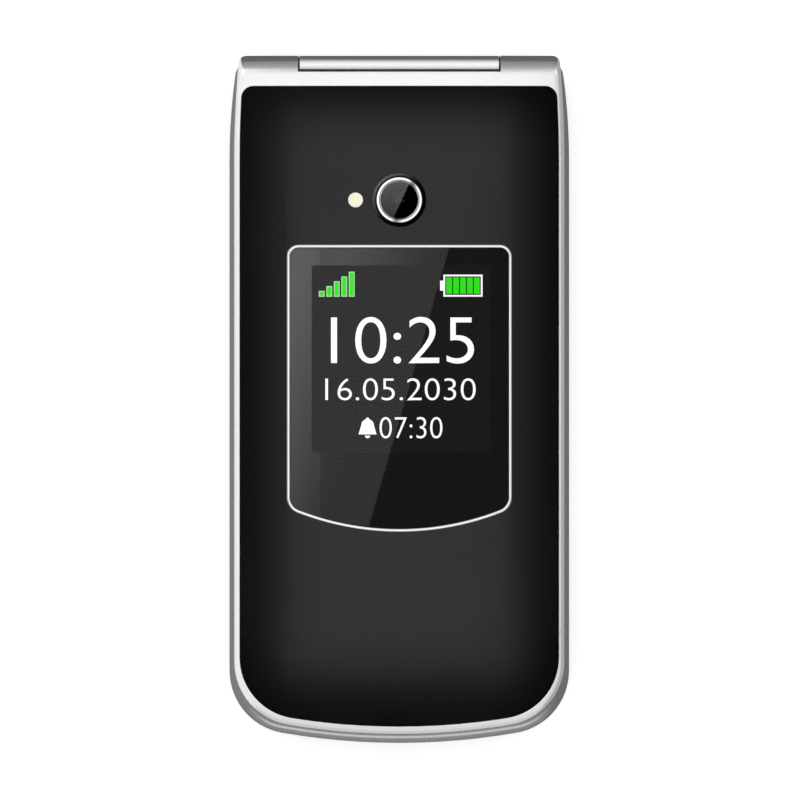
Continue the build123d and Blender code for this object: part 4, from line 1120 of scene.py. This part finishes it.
@dataclass
class Screws:
    """Cross-head screws, each with its shank."""

    node: str
    body: str
    head_radius: float = 1.4
    head_height: float = 0.8
    head_edge: float = 0.15
    shank_radius: float = 0.7
    recess: float = 0.35
    arm: Pair = (0.8, 0.22)
    turn: float = 20.0
    facets: int = 48

    def cross(self) -> list[Pair]:
        """Gives the outline of the cross-shaped recess, about the origin."""
        reach, half = self.arm
        corners = [(reach, -half), (reach, half), (half, half)]
        return [point for quarter in range(4) for point in turned_about(corners, 90.0 * quarter, (0.0, 0.0))]

    def add_screw(self, bm: BMesh, place: Pair, face: float, tip: float) -> None:
        """Adds one screw, whose head looks down.

        Args:
            bm: Shape that it is added to.
            place: Where it stands, in millimetres.
            face: Height of the head's face.
            tip: Height of the shank's tip.
        """
        flat = self.head_radius - self.head_edge
        outer = loop_edges(bm, arc(place, flat, 0.0, 360.0 - 360.0 / self.facets, self.facets - 1), face)
        inner = loop_edges(bm, turned_about(self.cross(), self.turn, place), face)
        bmesh.ops.triangle_fill(bm, edges=outer + inner, use_beauty=True, use_dissolve=False)
        deep = bmesh.ops.extrude_edge_only(bm, edges=inner)["geom"]
        bmesh.ops.translate(bm, verts=verts_of(deep), vec=(0, 0, self.recess * MM))
        low = [g for g in deep if isinstance(g, bmesh.types.BMEdge) and g.is_boundary]
        bmesh.ops.holes_fill(bm, edges=low)
        seat = face + self.head_height
        add_turned(bm, [
            (flat, face), (self.head_radius, face + self.head_edge), (self.head_radius, seat),
            (self.shank_radius, seat), (self.shank_radius, tip), (0.0, tip),
        ], place, self.facets, closed=False)

    def build(self) -> Piece:
        """Builds the screws, which stand for the CAD ones.

        Returns:
            The screws, as one piece.
        """
        bm = bmesh.new()
        low, high = box_of(self.node)
        for x in (low.x + self.head_radius, high.x - self.head_radius):
            for y in (low.y + self.head_radius, high.y - self.head_radius):
                self.add_screw(bm, (x, y), low.z, high.z)
        name = f"{self.node}_cross_head"
        return finish_piece(bm, name, SCREW_STEEL, self.body, replaced=self.node)


@dataclass
class Keypad:
    """Print on the keys. The handset's sizes are parts of its own size."""

    digit_height: float = 4.0
    sign_parts: dict[str, float] = field(default_factory=lambda: {"*": 0.55, "#": 0.85})
    rise: float = 0.03
    sink: float = 0.01
    handset: float = 1.9
    grip_drop: float = 0.55
    grip: Pair = (1.25, 0.8)
    pad_place: Pair = (0.98, -0.18)
    pad: Pair = (0.62, 0.5)
    pad_corner: float = 0.12
    pad_turn: float = 15.0
    dash: Pair = (3.4, 0.6)
    dash_corner: float = 0.28
    arrow: tuple[Pair, ...] = ((0.0, 8.0), (-0.75, 7.0), (0.75, 7.0))

    def ink(self, key: str) -> tuple[Pair, Ink]:
        """Gives the middle of a key's top and new print on it.

        Args:
            key: Name of the key.

        Returns:
            The middle, in millimetres, and the print.
        """
        low, high = box_of(key)
        middle = ((low.x + high.x) / 2, (low.y + high.y) / 2)
        return middle, Ink(bmesh.new(), high.z - self.sink, self.rise)

    def legend(self, key: str, label: str) -> Piece:
        """Prints a digit or sign.

        Args:
            key: Name of the key.
            label: The digit.

        Returns:
            The print, which rides on its key.
        """
        (x, y), ink = self.ink(key)
        height = self.digit_height * self.sign_parts.get(label, 1.0)
        ink.text(label, (x, y - height / 2, 0.0, height))
        return finish_piece(ink.bm, f"legend_{key}", LEGEND_WHITE, key)

    def handset_sign(self, key: str, finish: Finish, turn: float) -> Piece:
        """Prints a telephone handset on a key.

        Args:
            key: Name of the key.
            finish: Colour of the print.
            turn: Degrees that the handset is turned by.

        Returns:
            The sign.
        """
        place, ink = self.ink(key)
        size = self.handset
        middle = (0, -size * self.grip_drop)
        back, front = (size * part for part in self.grip)
        grip = [*arc(middle, back, 155.0, 25.0, 16), *arc(middle, front, 25.0, 155.0, 16)]
        ink.sheet(turned_about(grip, turn, place))
        ink.rise *= 1.05
        for side in (-1, 1):
            pad = turned_about([(side * size * self.pad_place[0], size * self.pad_place[1])], turn, place)[0]
            pad_size = (size * self.pad[0], size * self.pad[1])
            ink.plate(pad_size, pad, size * self.pad_corner, turn - side * self.pad_turn)
        return finish_piece(ink.bm, f"mark_{key}", finish, key)

    def soft_dash(self, key: str) -> Piece:
        """Prints the dash on a soft key."""
        middle, ink = self.ink(key)
        ink.plate(self.dash, middle, self.dash_corner)
        return finish_piece(ink.bm, f"mark_{key}", LEGEND_WHITE, key)

    def arrows(self) -> Piece:
        """Prints four arrows on the navigation ring."""
        middle, ink = self.ink("nav_ring")
        for quarter in range(4):
            ink.sheet(turned_about(self.arrow, 90.0 * quarter, middle))
        return finish_piece(ink.bm, "mark_nav_ring", PLATE_BLACK, "nav_ring")

    def build(self) -> list[Piece]:
        """Prints all keys.

        Returns:
            The pieces made.
        """
        labels = {**{f"key_{n}": str(n) for n in range(10)}, "key_star": "*", "key_hash": "#"}
        return [
            *(self.legend(key, label) for key, label in labels.items()),
            self.handset_sign("call_key", LEGEND_GREEN, 40.0),
            self.handset_sign("end_key", LEGEND_RED, 0.0),
            self.soft_dash("soft_key_left"),
            self.soft_dash("soft_key_right"),
            self.arrows(),
        ]


@dataclass
class SideMarks:
    """Raised plus and minus on the volume key."""

    rise: float = 0.04
    sink: float = 0.02
    bar: Pair = (1.3, 0.3)
    corner: float = 0.1
    end_room: float = 2.2

    def build(self) -> Piece:
        """Builds the signs flat, then turns them out to the side.

        Returns:
            The signs, as one piece.
        """
        low, high = box_of("volume_key")
        ink = Ink(bmesh.new(), -self.sink, self.rise)
        for along, bars in ((high.y - self.end_room, (0.0, 90.0)), (low.y + self.end_room, (90.0,))):
            for turn in bars:
                ink.plate(self.bar, ((low.z + high.z) / 2, along), self.corner, turn)
        turned = Matrix.Rotation(math.pi / 2, 4, "Y") @ Matrix.Diagonal((-1, 1, -1, 1))
        out = Matrix.Translation((low.x * MM, 0, 0)) @ turned
        bmesh.ops.transform(ink.bm, matrix=out, verts=ink.bm.verts)
        return finish_piece(ink.bm, "volume_key_signs", BASE_SILVER, "volume_key")


@dataclass
class HingeSeals:
    """Dark washers at the ends of the hinge barrel, and a dark strip under the edge of the lid's hood that is
    painted shade for the shadow in the gap over the barrel.
    """

    line: Pair = (49.25, 15.0)
    barrel_end: float = 14.9
    washer: Pair = (1.75, 2.22)
    washer_sides: Pair = (0.03, 0.27)
    # Painted shade: a dark strip where the gap between the hood's edge and the barrel lies in shadow.
    lip_size: Point = (30.1, 0.75, 0.2)
    lip_middle: Point = (0.0, 49.13, 17.65)
    lip_corner: float = 0.05

    def washers(self) -> Piece:
        """Builds one washer, turns it onto the hinge line and mirrors it by half a turn.

        Returns:
            Both washers, as one piece.
        """
        bm = bmesh.new()
        inner, outer = self.washer
        near, far = (self.barrel_end + room for room in self.washer_sides)
        add_turned(bm, [(inner, near), (outer, near), (outer, far), (inner, far)], (0.0, 0.0))
        bmesh.ops.rotate(bm, verts=bm.verts, cent=(0, 0, 0), matrix=Matrix.Rotation(math.pi / 2, 3, "Y"))
        other = bmesh.ops.duplicate(bm, geom=bm.verts[:] + bm.edges[:] + bm.faces[:])["geom"]
        bmesh.ops.rotate(bm, verts=verts_of(other), cent=(0, 0, 0), matrix=Matrix.Rotation(math.pi, 3, "Z"))
        bmesh.ops.translate(bm, verts=bm.verts, vec=Vector((0.0, *self.line)) * MM)
        return finish_piece(bm, "hinge_washers", MODULE_BLACK, "base")

    def lip(self) -> Piece:
        """Builds the dark strip, painted shade for the shadow in the gap between the hood and the barrel."""
        bm = bmesh.new()
        add_plate(bm, self.lip_size, self.lip_middle, self.lip_corner)
        return finish_piece(bm, "hinge_gap_painted_shade", MODULE_BLACK, "lid")


@dataclass
class Socket:
    """Gold contacts on the tongue of the charging socket."""

    places: tuple[float, ...] = (-1.3, -0.65, 0.0, 0.65, 1.3)
    strip: Point = (0.26, 3.4, 0.03)
    corner: float = 0.08
    mouth_room: float = 0.35
    tongue_top: float = 0.29

    def build(self) -> Piece:
        """Builds the contacts.

        Returns:
            The contacts, as one piece.
        """
        low, high = box_of("charging_socket")
        middle = (low.y + self.mouth_room + self.strip[1] / 2, (low.z + high.z) / 2 + self.tongue_top)
        bm = bmesh.new()
        for x in self.places:
            add_plate(bm, self.strip, (x, *middle), self.corner)
        return finish_piece(bm, "charging_contacts", GOLD, "base")


@dataclass
class Rear:
    """Grip ribs in the thumb dent of the battery cover."""

    dent: Pair = (0.0, 7.0)
    reach: float = 4.6
    roof: float = 0.32
    foot: float = 0.12
    pitch: float = 1.3
    rib: float = 0.45
    rows: int = 7

    def build(self) -> Piece:
        """Builds the ribs.

        Returns:
            The ribs, as one piece.
        """
        ink = Ink(bmesh.new(), self.foot, self.roof - self.foot)
        for row in range(self.rows):
            along = (row - self.rows // 2) * self.pitch
            width = 2 * math.sqrt(self.reach**2 - along**2)
            ink.plate((width, self.rib), (self.dent[0], self.dent[1] + along), self.rib / 2.1)
        return finish_piece(ink.bm, "battery_cover_ribs", REAR_BLACK, "battery_cover")


# ---------------------------------------------------------------- studio
def glow_material(name: str, level: float, ramp: Point | None = None) -> Material:
    """Builds the glow of a card, which lets through what lies behind it.

    Args:
        name: Name of the material.
        level: Its brightness, or the most that a ramp reaches.
        ramp: Level at the middle, and its change for each millimetre across and along, of a sloping glow.

    Returns:
        The material.
    """
    material, graph, shader = new_material(name, {})
    graph.tree.nodes.remove(shader)
    strength = level
    if ramp:
        start, across, along = ramp
        tilt_x = graph.math("MULTIPLY", graph.axis("X"), across / MM)
        tilt_y = graph.math("MULTIPLY_ADD", graph.axis("Y"), along / MM, start)
        raised = graph.math("MAXIMUM", graph.math("ADD", tilt_x, tilt_y), 0.0)
        strength = graph.math("MINIMUM", raised, level)
    glow = graph.add("Emission", {"Strength": strength}).outputs[0]
    graph.surface(graph.add("AddShader", {0: glow, 1: graph.add("BsdfTransparent").outputs[0]}))
    return material


def stage_mesh(bm: BMesh, name: str, materials: list[Material]) -> Piece:
    """Turns a bmesh into a stage object and frees it."""
    thing = new_object(bm, name, materials)
    return thing


def only_mirrored(thing: Piece, receivers: list[Piece] | None = None) -> Piece:
    """Hides a stage object from everything but mirror images.

    Args:
        thing: The object.
        receivers: Pieces that mirror it, where not all do.

    Returns:
        The same object.
    """
    thing.visible_camera = False
    thing.visible_diffuse = False
    thing.visible_shadow = False
    if receivers:
        group = bpy.data.collections.new(f"{thing.name}_receivers")
        for piece in receivers:
            group.objects.link(piece)
        thing.light_linking.receiver_collection = group
    return thing


def rectangle(left: float, right: float, foot: float, top: float) -> tuple[Pair, ...]:
    """Gives the corners of a rectangle, in order."""
    return ((left, foot), (right, foot), (right, top), (left, top))


@dataclass(frozen=True)
class Card:
    """A glowing card over the set that only chosen pieces mirror."""

    name: str
    outline: tuple[Pair, ...]
    level: float
    height: float
    ramp: Point | None = None
    through_glass: bool | None = None

    def build(self, receivers: list[Piece]) -> None:
        """Hangs the card.

        Args:
            receivers: Pieces that mirror it.
        """
        bm = bmesh.new()
        bm.faces.new([bm.verts.new(Vector((x, y, self.height)) * MM) for x, y in self.outline])
        card = stage_mesh(bm, self.name, [glow_material(self.name, self.level, self.ramp)])
        if self.through_glass is not None:
            card.visible_transmission = self.through_glass
            card.visible_glossy = not self.through_glass
        only_mirrored(card, receivers)


@dataclass(frozen=True)
class Booth:
    """A box of glowing cards round the set that only chosen pieces mirror.

    Each side has three levels: that of the ceiling, of the wall and of the ground. The order of a box sets
    its height, width and ground, so that no two boxes share one.
    """

    name: str
    order: int
    top: float
    left: Point
    right: Point
    hinge: Point
    free: Point
    near: float = 185.0
    hole: Pair = (27.0, 54.0)
    first: Point = (940.0, 2400.0, 0.7)
    step: Point = (3.0, 12.0, 0.2)

    def sizes(self) -> list[float]:
        """Gives the height of the ceiling, half of the width and the height of the ground."""
        return [first + step * self.order for first, step in zip(self.first, self.step)]

    def side(self, face: bmesh.types.BMFace) -> int:
        """Tells which side a face belongs to.

        Args:
            face: Face of the box.

        Returns:
            Place of the side and the part among the box's materials.
        """
        middle = face.calc_center_median() / MM
        if max(abs(middle.x), abs(middle.y)) < 0.1:
            return 0
        height, _half, floor = self.sizes()
        part = 0 if middle.z > height - 1.0 else 2 if middle.z < 2 * floor else 1
        if abs(middle.x) > abs(middle.y):
            return 1 + part + (0 if middle.x < 0 else 3)
        return 1 + part + (6 if middle.y > 0 else 9)

    def build(self, receivers: list[Piece]) -> None:
        """Sets the box up.

        Args:
            receivers: Pieces that mirror it.
        """
        bm = bmesh.new()
        height, half, floor = self.sizes()
        place = Matrix.Translation((0, 0, (height + floor) / 2 * MM))
        size = Matrix.Diagonal((2 * half * MM, 2 * half * MM, (height - floor) * MM, 1.0))
        bmesh.ops.create_cube(bm, size=1.0, matrix=place @ size)
        bm.faces.ensure_lookup_table()
        ceiling = max(bm.faces, key=lambda f: f.calc_center_median().z)
        ground = min(bm.faces, key=lambda f: f.calc_center_median().z)
        for middle, rest in ((ceiling, self.near), (ground, 1.0)):
            width = (half - rest) * MM
            bmesh.ops.inset_individual(bm, faces=[middle], thickness=width, use_even_offset=True)
        bmesh.ops.scale(bm, verts=ground.verts, vec=(*self.hole, 1.0))
        bmesh.ops.delete(bm, geom=[ground], context="FACES")
        for face in bm.faces:
            face.material_index = self.side(face)
        levels = (self.top, *self.left, *self.right, *self.hinge, *self.free)
        glows = [glow_material(f"{self.name}_{place}", level) for place, level in enumerate(levels)]
        only_mirrored(stage_mesh(bm, self.name, glows), receivers)


LENS_EDGE = ((-2.5, 31.5), (2.23, 41.7), (20.0, 81.0), (20.0, 400.0), (-400.0, 400.0))
RING_EDGE = ((-62.6, -29.0), (-2.6, 31.0), (3.6, 44.7), (40.0, 125.0))
FRONT_EDGE = ((-400.0, -97.0), (-120.5, -97.0), (-26.3, -24.3), (43.0, 29.5), (45.0, 31.2))
INNER_BACK = ((12.0, -59.5), (4.5, -24.3), (-7.3, 29.5), (-7.3, 31.2), (12.0, 31.2))
OUTER_BACK = ((400.0, -97.0), (20.0, -97.0), (12.0, -59.5), (12.0, 31.2), (400.0, 31.2))
SHADE = (0.4, 0.3, 0.2)

# Which pieces mirror each card or box: the clear ones, the panel, the silver ones of the lid and of the
# base, the camera's ring and collar with a dark gap between them, small bright trim, plain and gloss black.
MIRRORED: tuple[tuple[str, Card | Booth], ...] = (
    ("clear", Card("window_card", (*FRONT_EDGE, *LENS_EDGE), 0.58, 900.0, None, False)),
    ("clear", Card("window_dim_card", rectangle(-400, 400, -400, 31.2), 0.165, 903.0, None, False)),
    ("clear", Card("window_inner_back_card", INNER_BACK, 2.2, 906.0, (-0.46, 0.115, 0.0367), True)),
    ("clear", Card("window_outer_back_card", OUTER_BACK, 2.2, 906.0, (0.71, 0.0175, 0.0367), True)),
    ("clear", Card("lens_back_card", (*LENS_EDGE, (-400.0, 31.5)), 2.0, 906.0, (-7.6, 0.0, 0.23), True)),
    ("panel", Card("panel_softbox", rectangle(-190, 190, -190, 190), 1.0, 909.0)),
    ("lid", Booth(
        "lid_booth", 1, top=1.28, left=(1.1, 1.2, 1.05), right=(0.9, 0.54, 0.5), hinge=(0.43, 0.33, 0.15),
        free=(0.95, 0.86, 0.75), near=330.0,
    )),
    ("lid", Card("lid_hinge_card", rectangle(-2400, 2400, 330, 2400), 1.0, 918.0, (0.75, 0.0, -0.00067))),
    ("base", Booth(
        "base_booth", 2, top=0.2, left=(0.27, 0.27, 0.27), right=(0.2, 0.2, 0.2), hinge=(0.2, 0.8, 0.16),
        free=(0.33, 0.34, 0.3),
    )),
    ("base", Card("base_hinge_card", rectangle(-2400, 2400, 60, 2400), 1.15, 921.0, (-0.1, 0.0, 0.0017))),
    ("base", Card("base_free_card", rectangle(-700, 700, -1700, -780), 0.6, 924.0)),
    ("ring", Card("ring_left_card", (*RING_EDGE, (-200.0, 125.0)), 1.15, 930.0)),
    ("ring", Card(
        "ring_right_card", (*RING_EDGE, (200.0, 125.0), (200.0, -29.0)), 1.15, 933.0, (20.65, 1.3, -0.59)
    )),
    ("collar", Card("collar_card", rectangle(-1500, 1500, -1500, 1500), 3.0, 936.0, (-0.2, -0.0035, 0.0035))),
    ("bright", Booth("trim_booth", 3, top=1.1, left=SHADE, right=SHADE, hinge=SHADE, free=SHADE, near=300.0)),
    ("plain", Booth(
        "plain_booth", 4, top=0.9, left=(0.9, 0.9, 0.6), right=(0.5, 0.5, 0.4), hinge=(0.8, 0.7, 0.5),
        free=(0.5, 0.5, 0.4),
    )),
    ("gloss", Booth(
        "gloss_booth", 5, top=0.0, left=(0.6, 0.5, 0.1), right=(0.4, 0.3, 0.1), hinge=(0.5, 0.4, 0.1),
        free=(0.4, 0.3, 0.1), near=700.0,
    )),
)


@dataclass
class Studio:
    """Floor, world, lamp, mirrored cards and the camera. Lengths are in millimetres."""

    floor_half: float = 2000.0
    floor_drop: float = 0.2
    footprint: Pair = (25.5, 51.5)
    world_level: float = 0.92
    cloth_half: float = 2600.0
    cloth_height: float = 1200.0
    lamp_place: Point = (-700.0, 600.0, 1000.0)
    lamp_size: float = 900.0
    lamp_power: float = 1.2
    camera_place: Point = (0.105, -0.0525, 3346.0)
    lens: float = 1000.0
    sensor: float = 36.0
    sight: float = 20000.0

    def world(self) -> None:
        """Builds an even world that is white where it is seen."""
        world = bpy.data.worlds.new("studio_world")
        bpy.context.scene.world = world
        world.use_nodes = True
        graph = Graph(world.node_tree)
        seen = graph.add("LightPath").outputs
        direct = graph.math("MAXIMUM", seen["Is Camera Ray"], seen["Is Glossy Ray"])
        any_seen = graph.math("MAXIMUM", direct, seen["Is Transmission Ray"])
        level = graph.ranged(any_seen, (0.0, 1.0), (self.world_level, 1.0))
        graph.feed(world.node_tree.nodes["Background"], {"Color": (1.0, 1.0, 1.0, 1.0), "Strength": level})

    def floor(self) -> None:
        """Builds the white floor, which keeps a soft shadow and is clear from below."""
        material, graph, shader = new_material(
            "studio_floor", {"Roughness": 0.9, "Specular IOR Level": 0.0, "Emission Strength": 1.0}
        )
        seen = graph.add("LightPath").outputs
        for source, ends, socket in (
            ("Is Camera Ray", (0.0, 0.5), "Emission Color"),
            ("Is Glossy Ray", (0.85, 0.0), "Base Color"),
        ):
            level = graph.ranged(seen[source], (0.0, 1.0), ends)
            shade = graph.add("CombineColor", dict.fromkeys(("Red", "Green", "Blue"), level))
            graph.feed(shader, {socket: shade.outputs["Color"]})
        across, along = (
            graph.math("MULTIPLY", graph.math("ABSOLUTE", graph.axis(axis)), 1.0 / (half * MM))
            for axis, half in zip("XY", self.footprint)
        )
        under = graph.ranged(graph.math("MAXIMUM", across, along), (0.92, 1.0), (1.0, 0.0))
        unseen = graph.math("MULTIPLY", under, graph.math("SUBTRACT", 1.0, seen["Is Camera Ray"]))
        clear = graph.math("MAXIMUM", graph.add("NewGeometry").outputs["Backfacing"], unseen)
        both = {0: clear, 1: shader.outputs[0], 2: graph.add("BsdfTransparent").outputs[0]}
        graph.surface(graph.add("MixShader", both))
        bm = bmesh.new()
        level = Matrix.Translation((0, 0, -self.floor_drop * MM))
        bmesh.ops.create_grid(bm, x_segments=1, y_segments=1, size=self.floor_half * MM, matrix=level)
        stage_mesh(bm, "studio_floor", [material])

    def dark_surround(self) -> None:
        """Hangs black cloth overhead and round the set, which only mirrors see."""
        inputs = {"Base Color": BLACK, "Specular IOR Level": 0.0, "Roughness": 1.0}
        black = new_material("studio_cloth", inputs)[0]
        bm = bmesh.new()
        bmesh.ops.create_cube(bm, size=1.0, matrix=Matrix.Translation((0, 0, 0.5)))
        size = 2 * self.cloth_half * MM
        bmesh.ops.scale(bm, verts=bm.verts, vec=(size, size, self.cloth_height * MM))
        bmesh.ops.delete(bm, geom=[f for f in bm.faces if f.calc_center_median().z < WELD], context="FACES")
        only_mirrored(stage_mesh(bm, "studio_cloth", [black]))

    def lamp(self) -> None:
        """Hangs one large soft lamp at the upper left, for shape."""
        data = bpy.data.lights.new("soft_lamp", "AREA")
        data.shape = "DISK"
        data.size = self.lamp_size * MM
        data.energy = self.lamp_power
        data.specular_factor = 0.0
        lamp = into_scene("soft_lamp", data)
        lamp.location = Vector(self.lamp_place) * MM
        lamp.rotation_mode = "QUATERNION"
        lamp.rotation_quaternion = lamp.location.to_track_quat("Z", "Y")

    def camera(self) -> None:
        """Sets up the camera, square over the lid."""
        data = bpy.data.cameras.new("main_camera")
        data.lens = self.lens
        data.sensor_width = self.sensor
        data.clip_end = self.sight * MM
        camera = into_scene("main_camera", data)
        camera.location = Vector(self.camera_place) * MM
        bpy.context.scene.camera = camera

    def build(self, screen: list[Piece], camera: list[Piece], inner: list[Piece]) -> None:
        """Builds the studio.

        Args:
            screen: Pieces of the outer screen.
            camera: Pieces of the phone's camera.
            inner: Pieces of the inner screen.
        """
        nodes = frame["nodes"]
        mask, trim, *_figures = screen
        ring, collar, glass, _baffle, lens, *_painted_glint, rim, rings = camera
        dark = [*inner, nodes["inner_window"], nodes["lid_front_panel"], ring, collar]
        groups = {
            "clear": [nodes["outer_window"], mask, glass, lens],
            "lid": [nodes["lid_frame"]],
            "base": [nodes[name] for name in ("front_housing", "volume_key", "camera_key", "nav_ring")],
            "bright": [trim, nodes["flash_lens"], rim, rings],
            "dark": dark,
        }
        chosen = {piece.name for pieces in groups.values() for piece in pieces}
        scene = bpy.context.scene.objects
        groups["plain"] = [o for o in scene if o.type == "MESH" and o.name not in chosen]
        groups["gloss"] = [*dark, nodes["outer_window"], mask, glass]
        groups.update(panel=[nodes["lid_front_panel"]], ring=[ring], collar=[collar])
        for group, thing in MIRRORED:
            thing.build(groups[group])
        self.camera()
        self.world()
        self.floor()
        self.dark_surround()
        self.lamp()


def main() -> None:
    """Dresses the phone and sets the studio."""
    logging.basicConfig(level=logging.INFO, format="%(name)s: %(message)s")
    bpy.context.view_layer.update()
    bpy.context.scene.view_settings.view_transform = "Standard"
    LOG.info("dressed %d nodes", CadDress().dress())
    screen, camera, inner = OuterScreen().build(), Camera().build(), InnerScreen().build()
    hinge_dark_parts = HingeSeals()
    others = [
        Screws("lid_screws", "lid").build(), Screws("base_screws", "base").build(), *Keypad().build(),
        # The hinge's dark strip is painted shade in the gap under the lid's hood.
        SideMarks().build(), hinge_dark_parts.washers(), hinge_dark_parts.lip(), Socket().build(), Rear().build(),
    ]
    for piece in (*screen, *camera, *inner, *others):
        LOG.info("built %s with %d faces", piece.name, len(piece.data.polygons))
    Studio().build(screen, camera, inner)


if __name__ == "__main__":
    main()
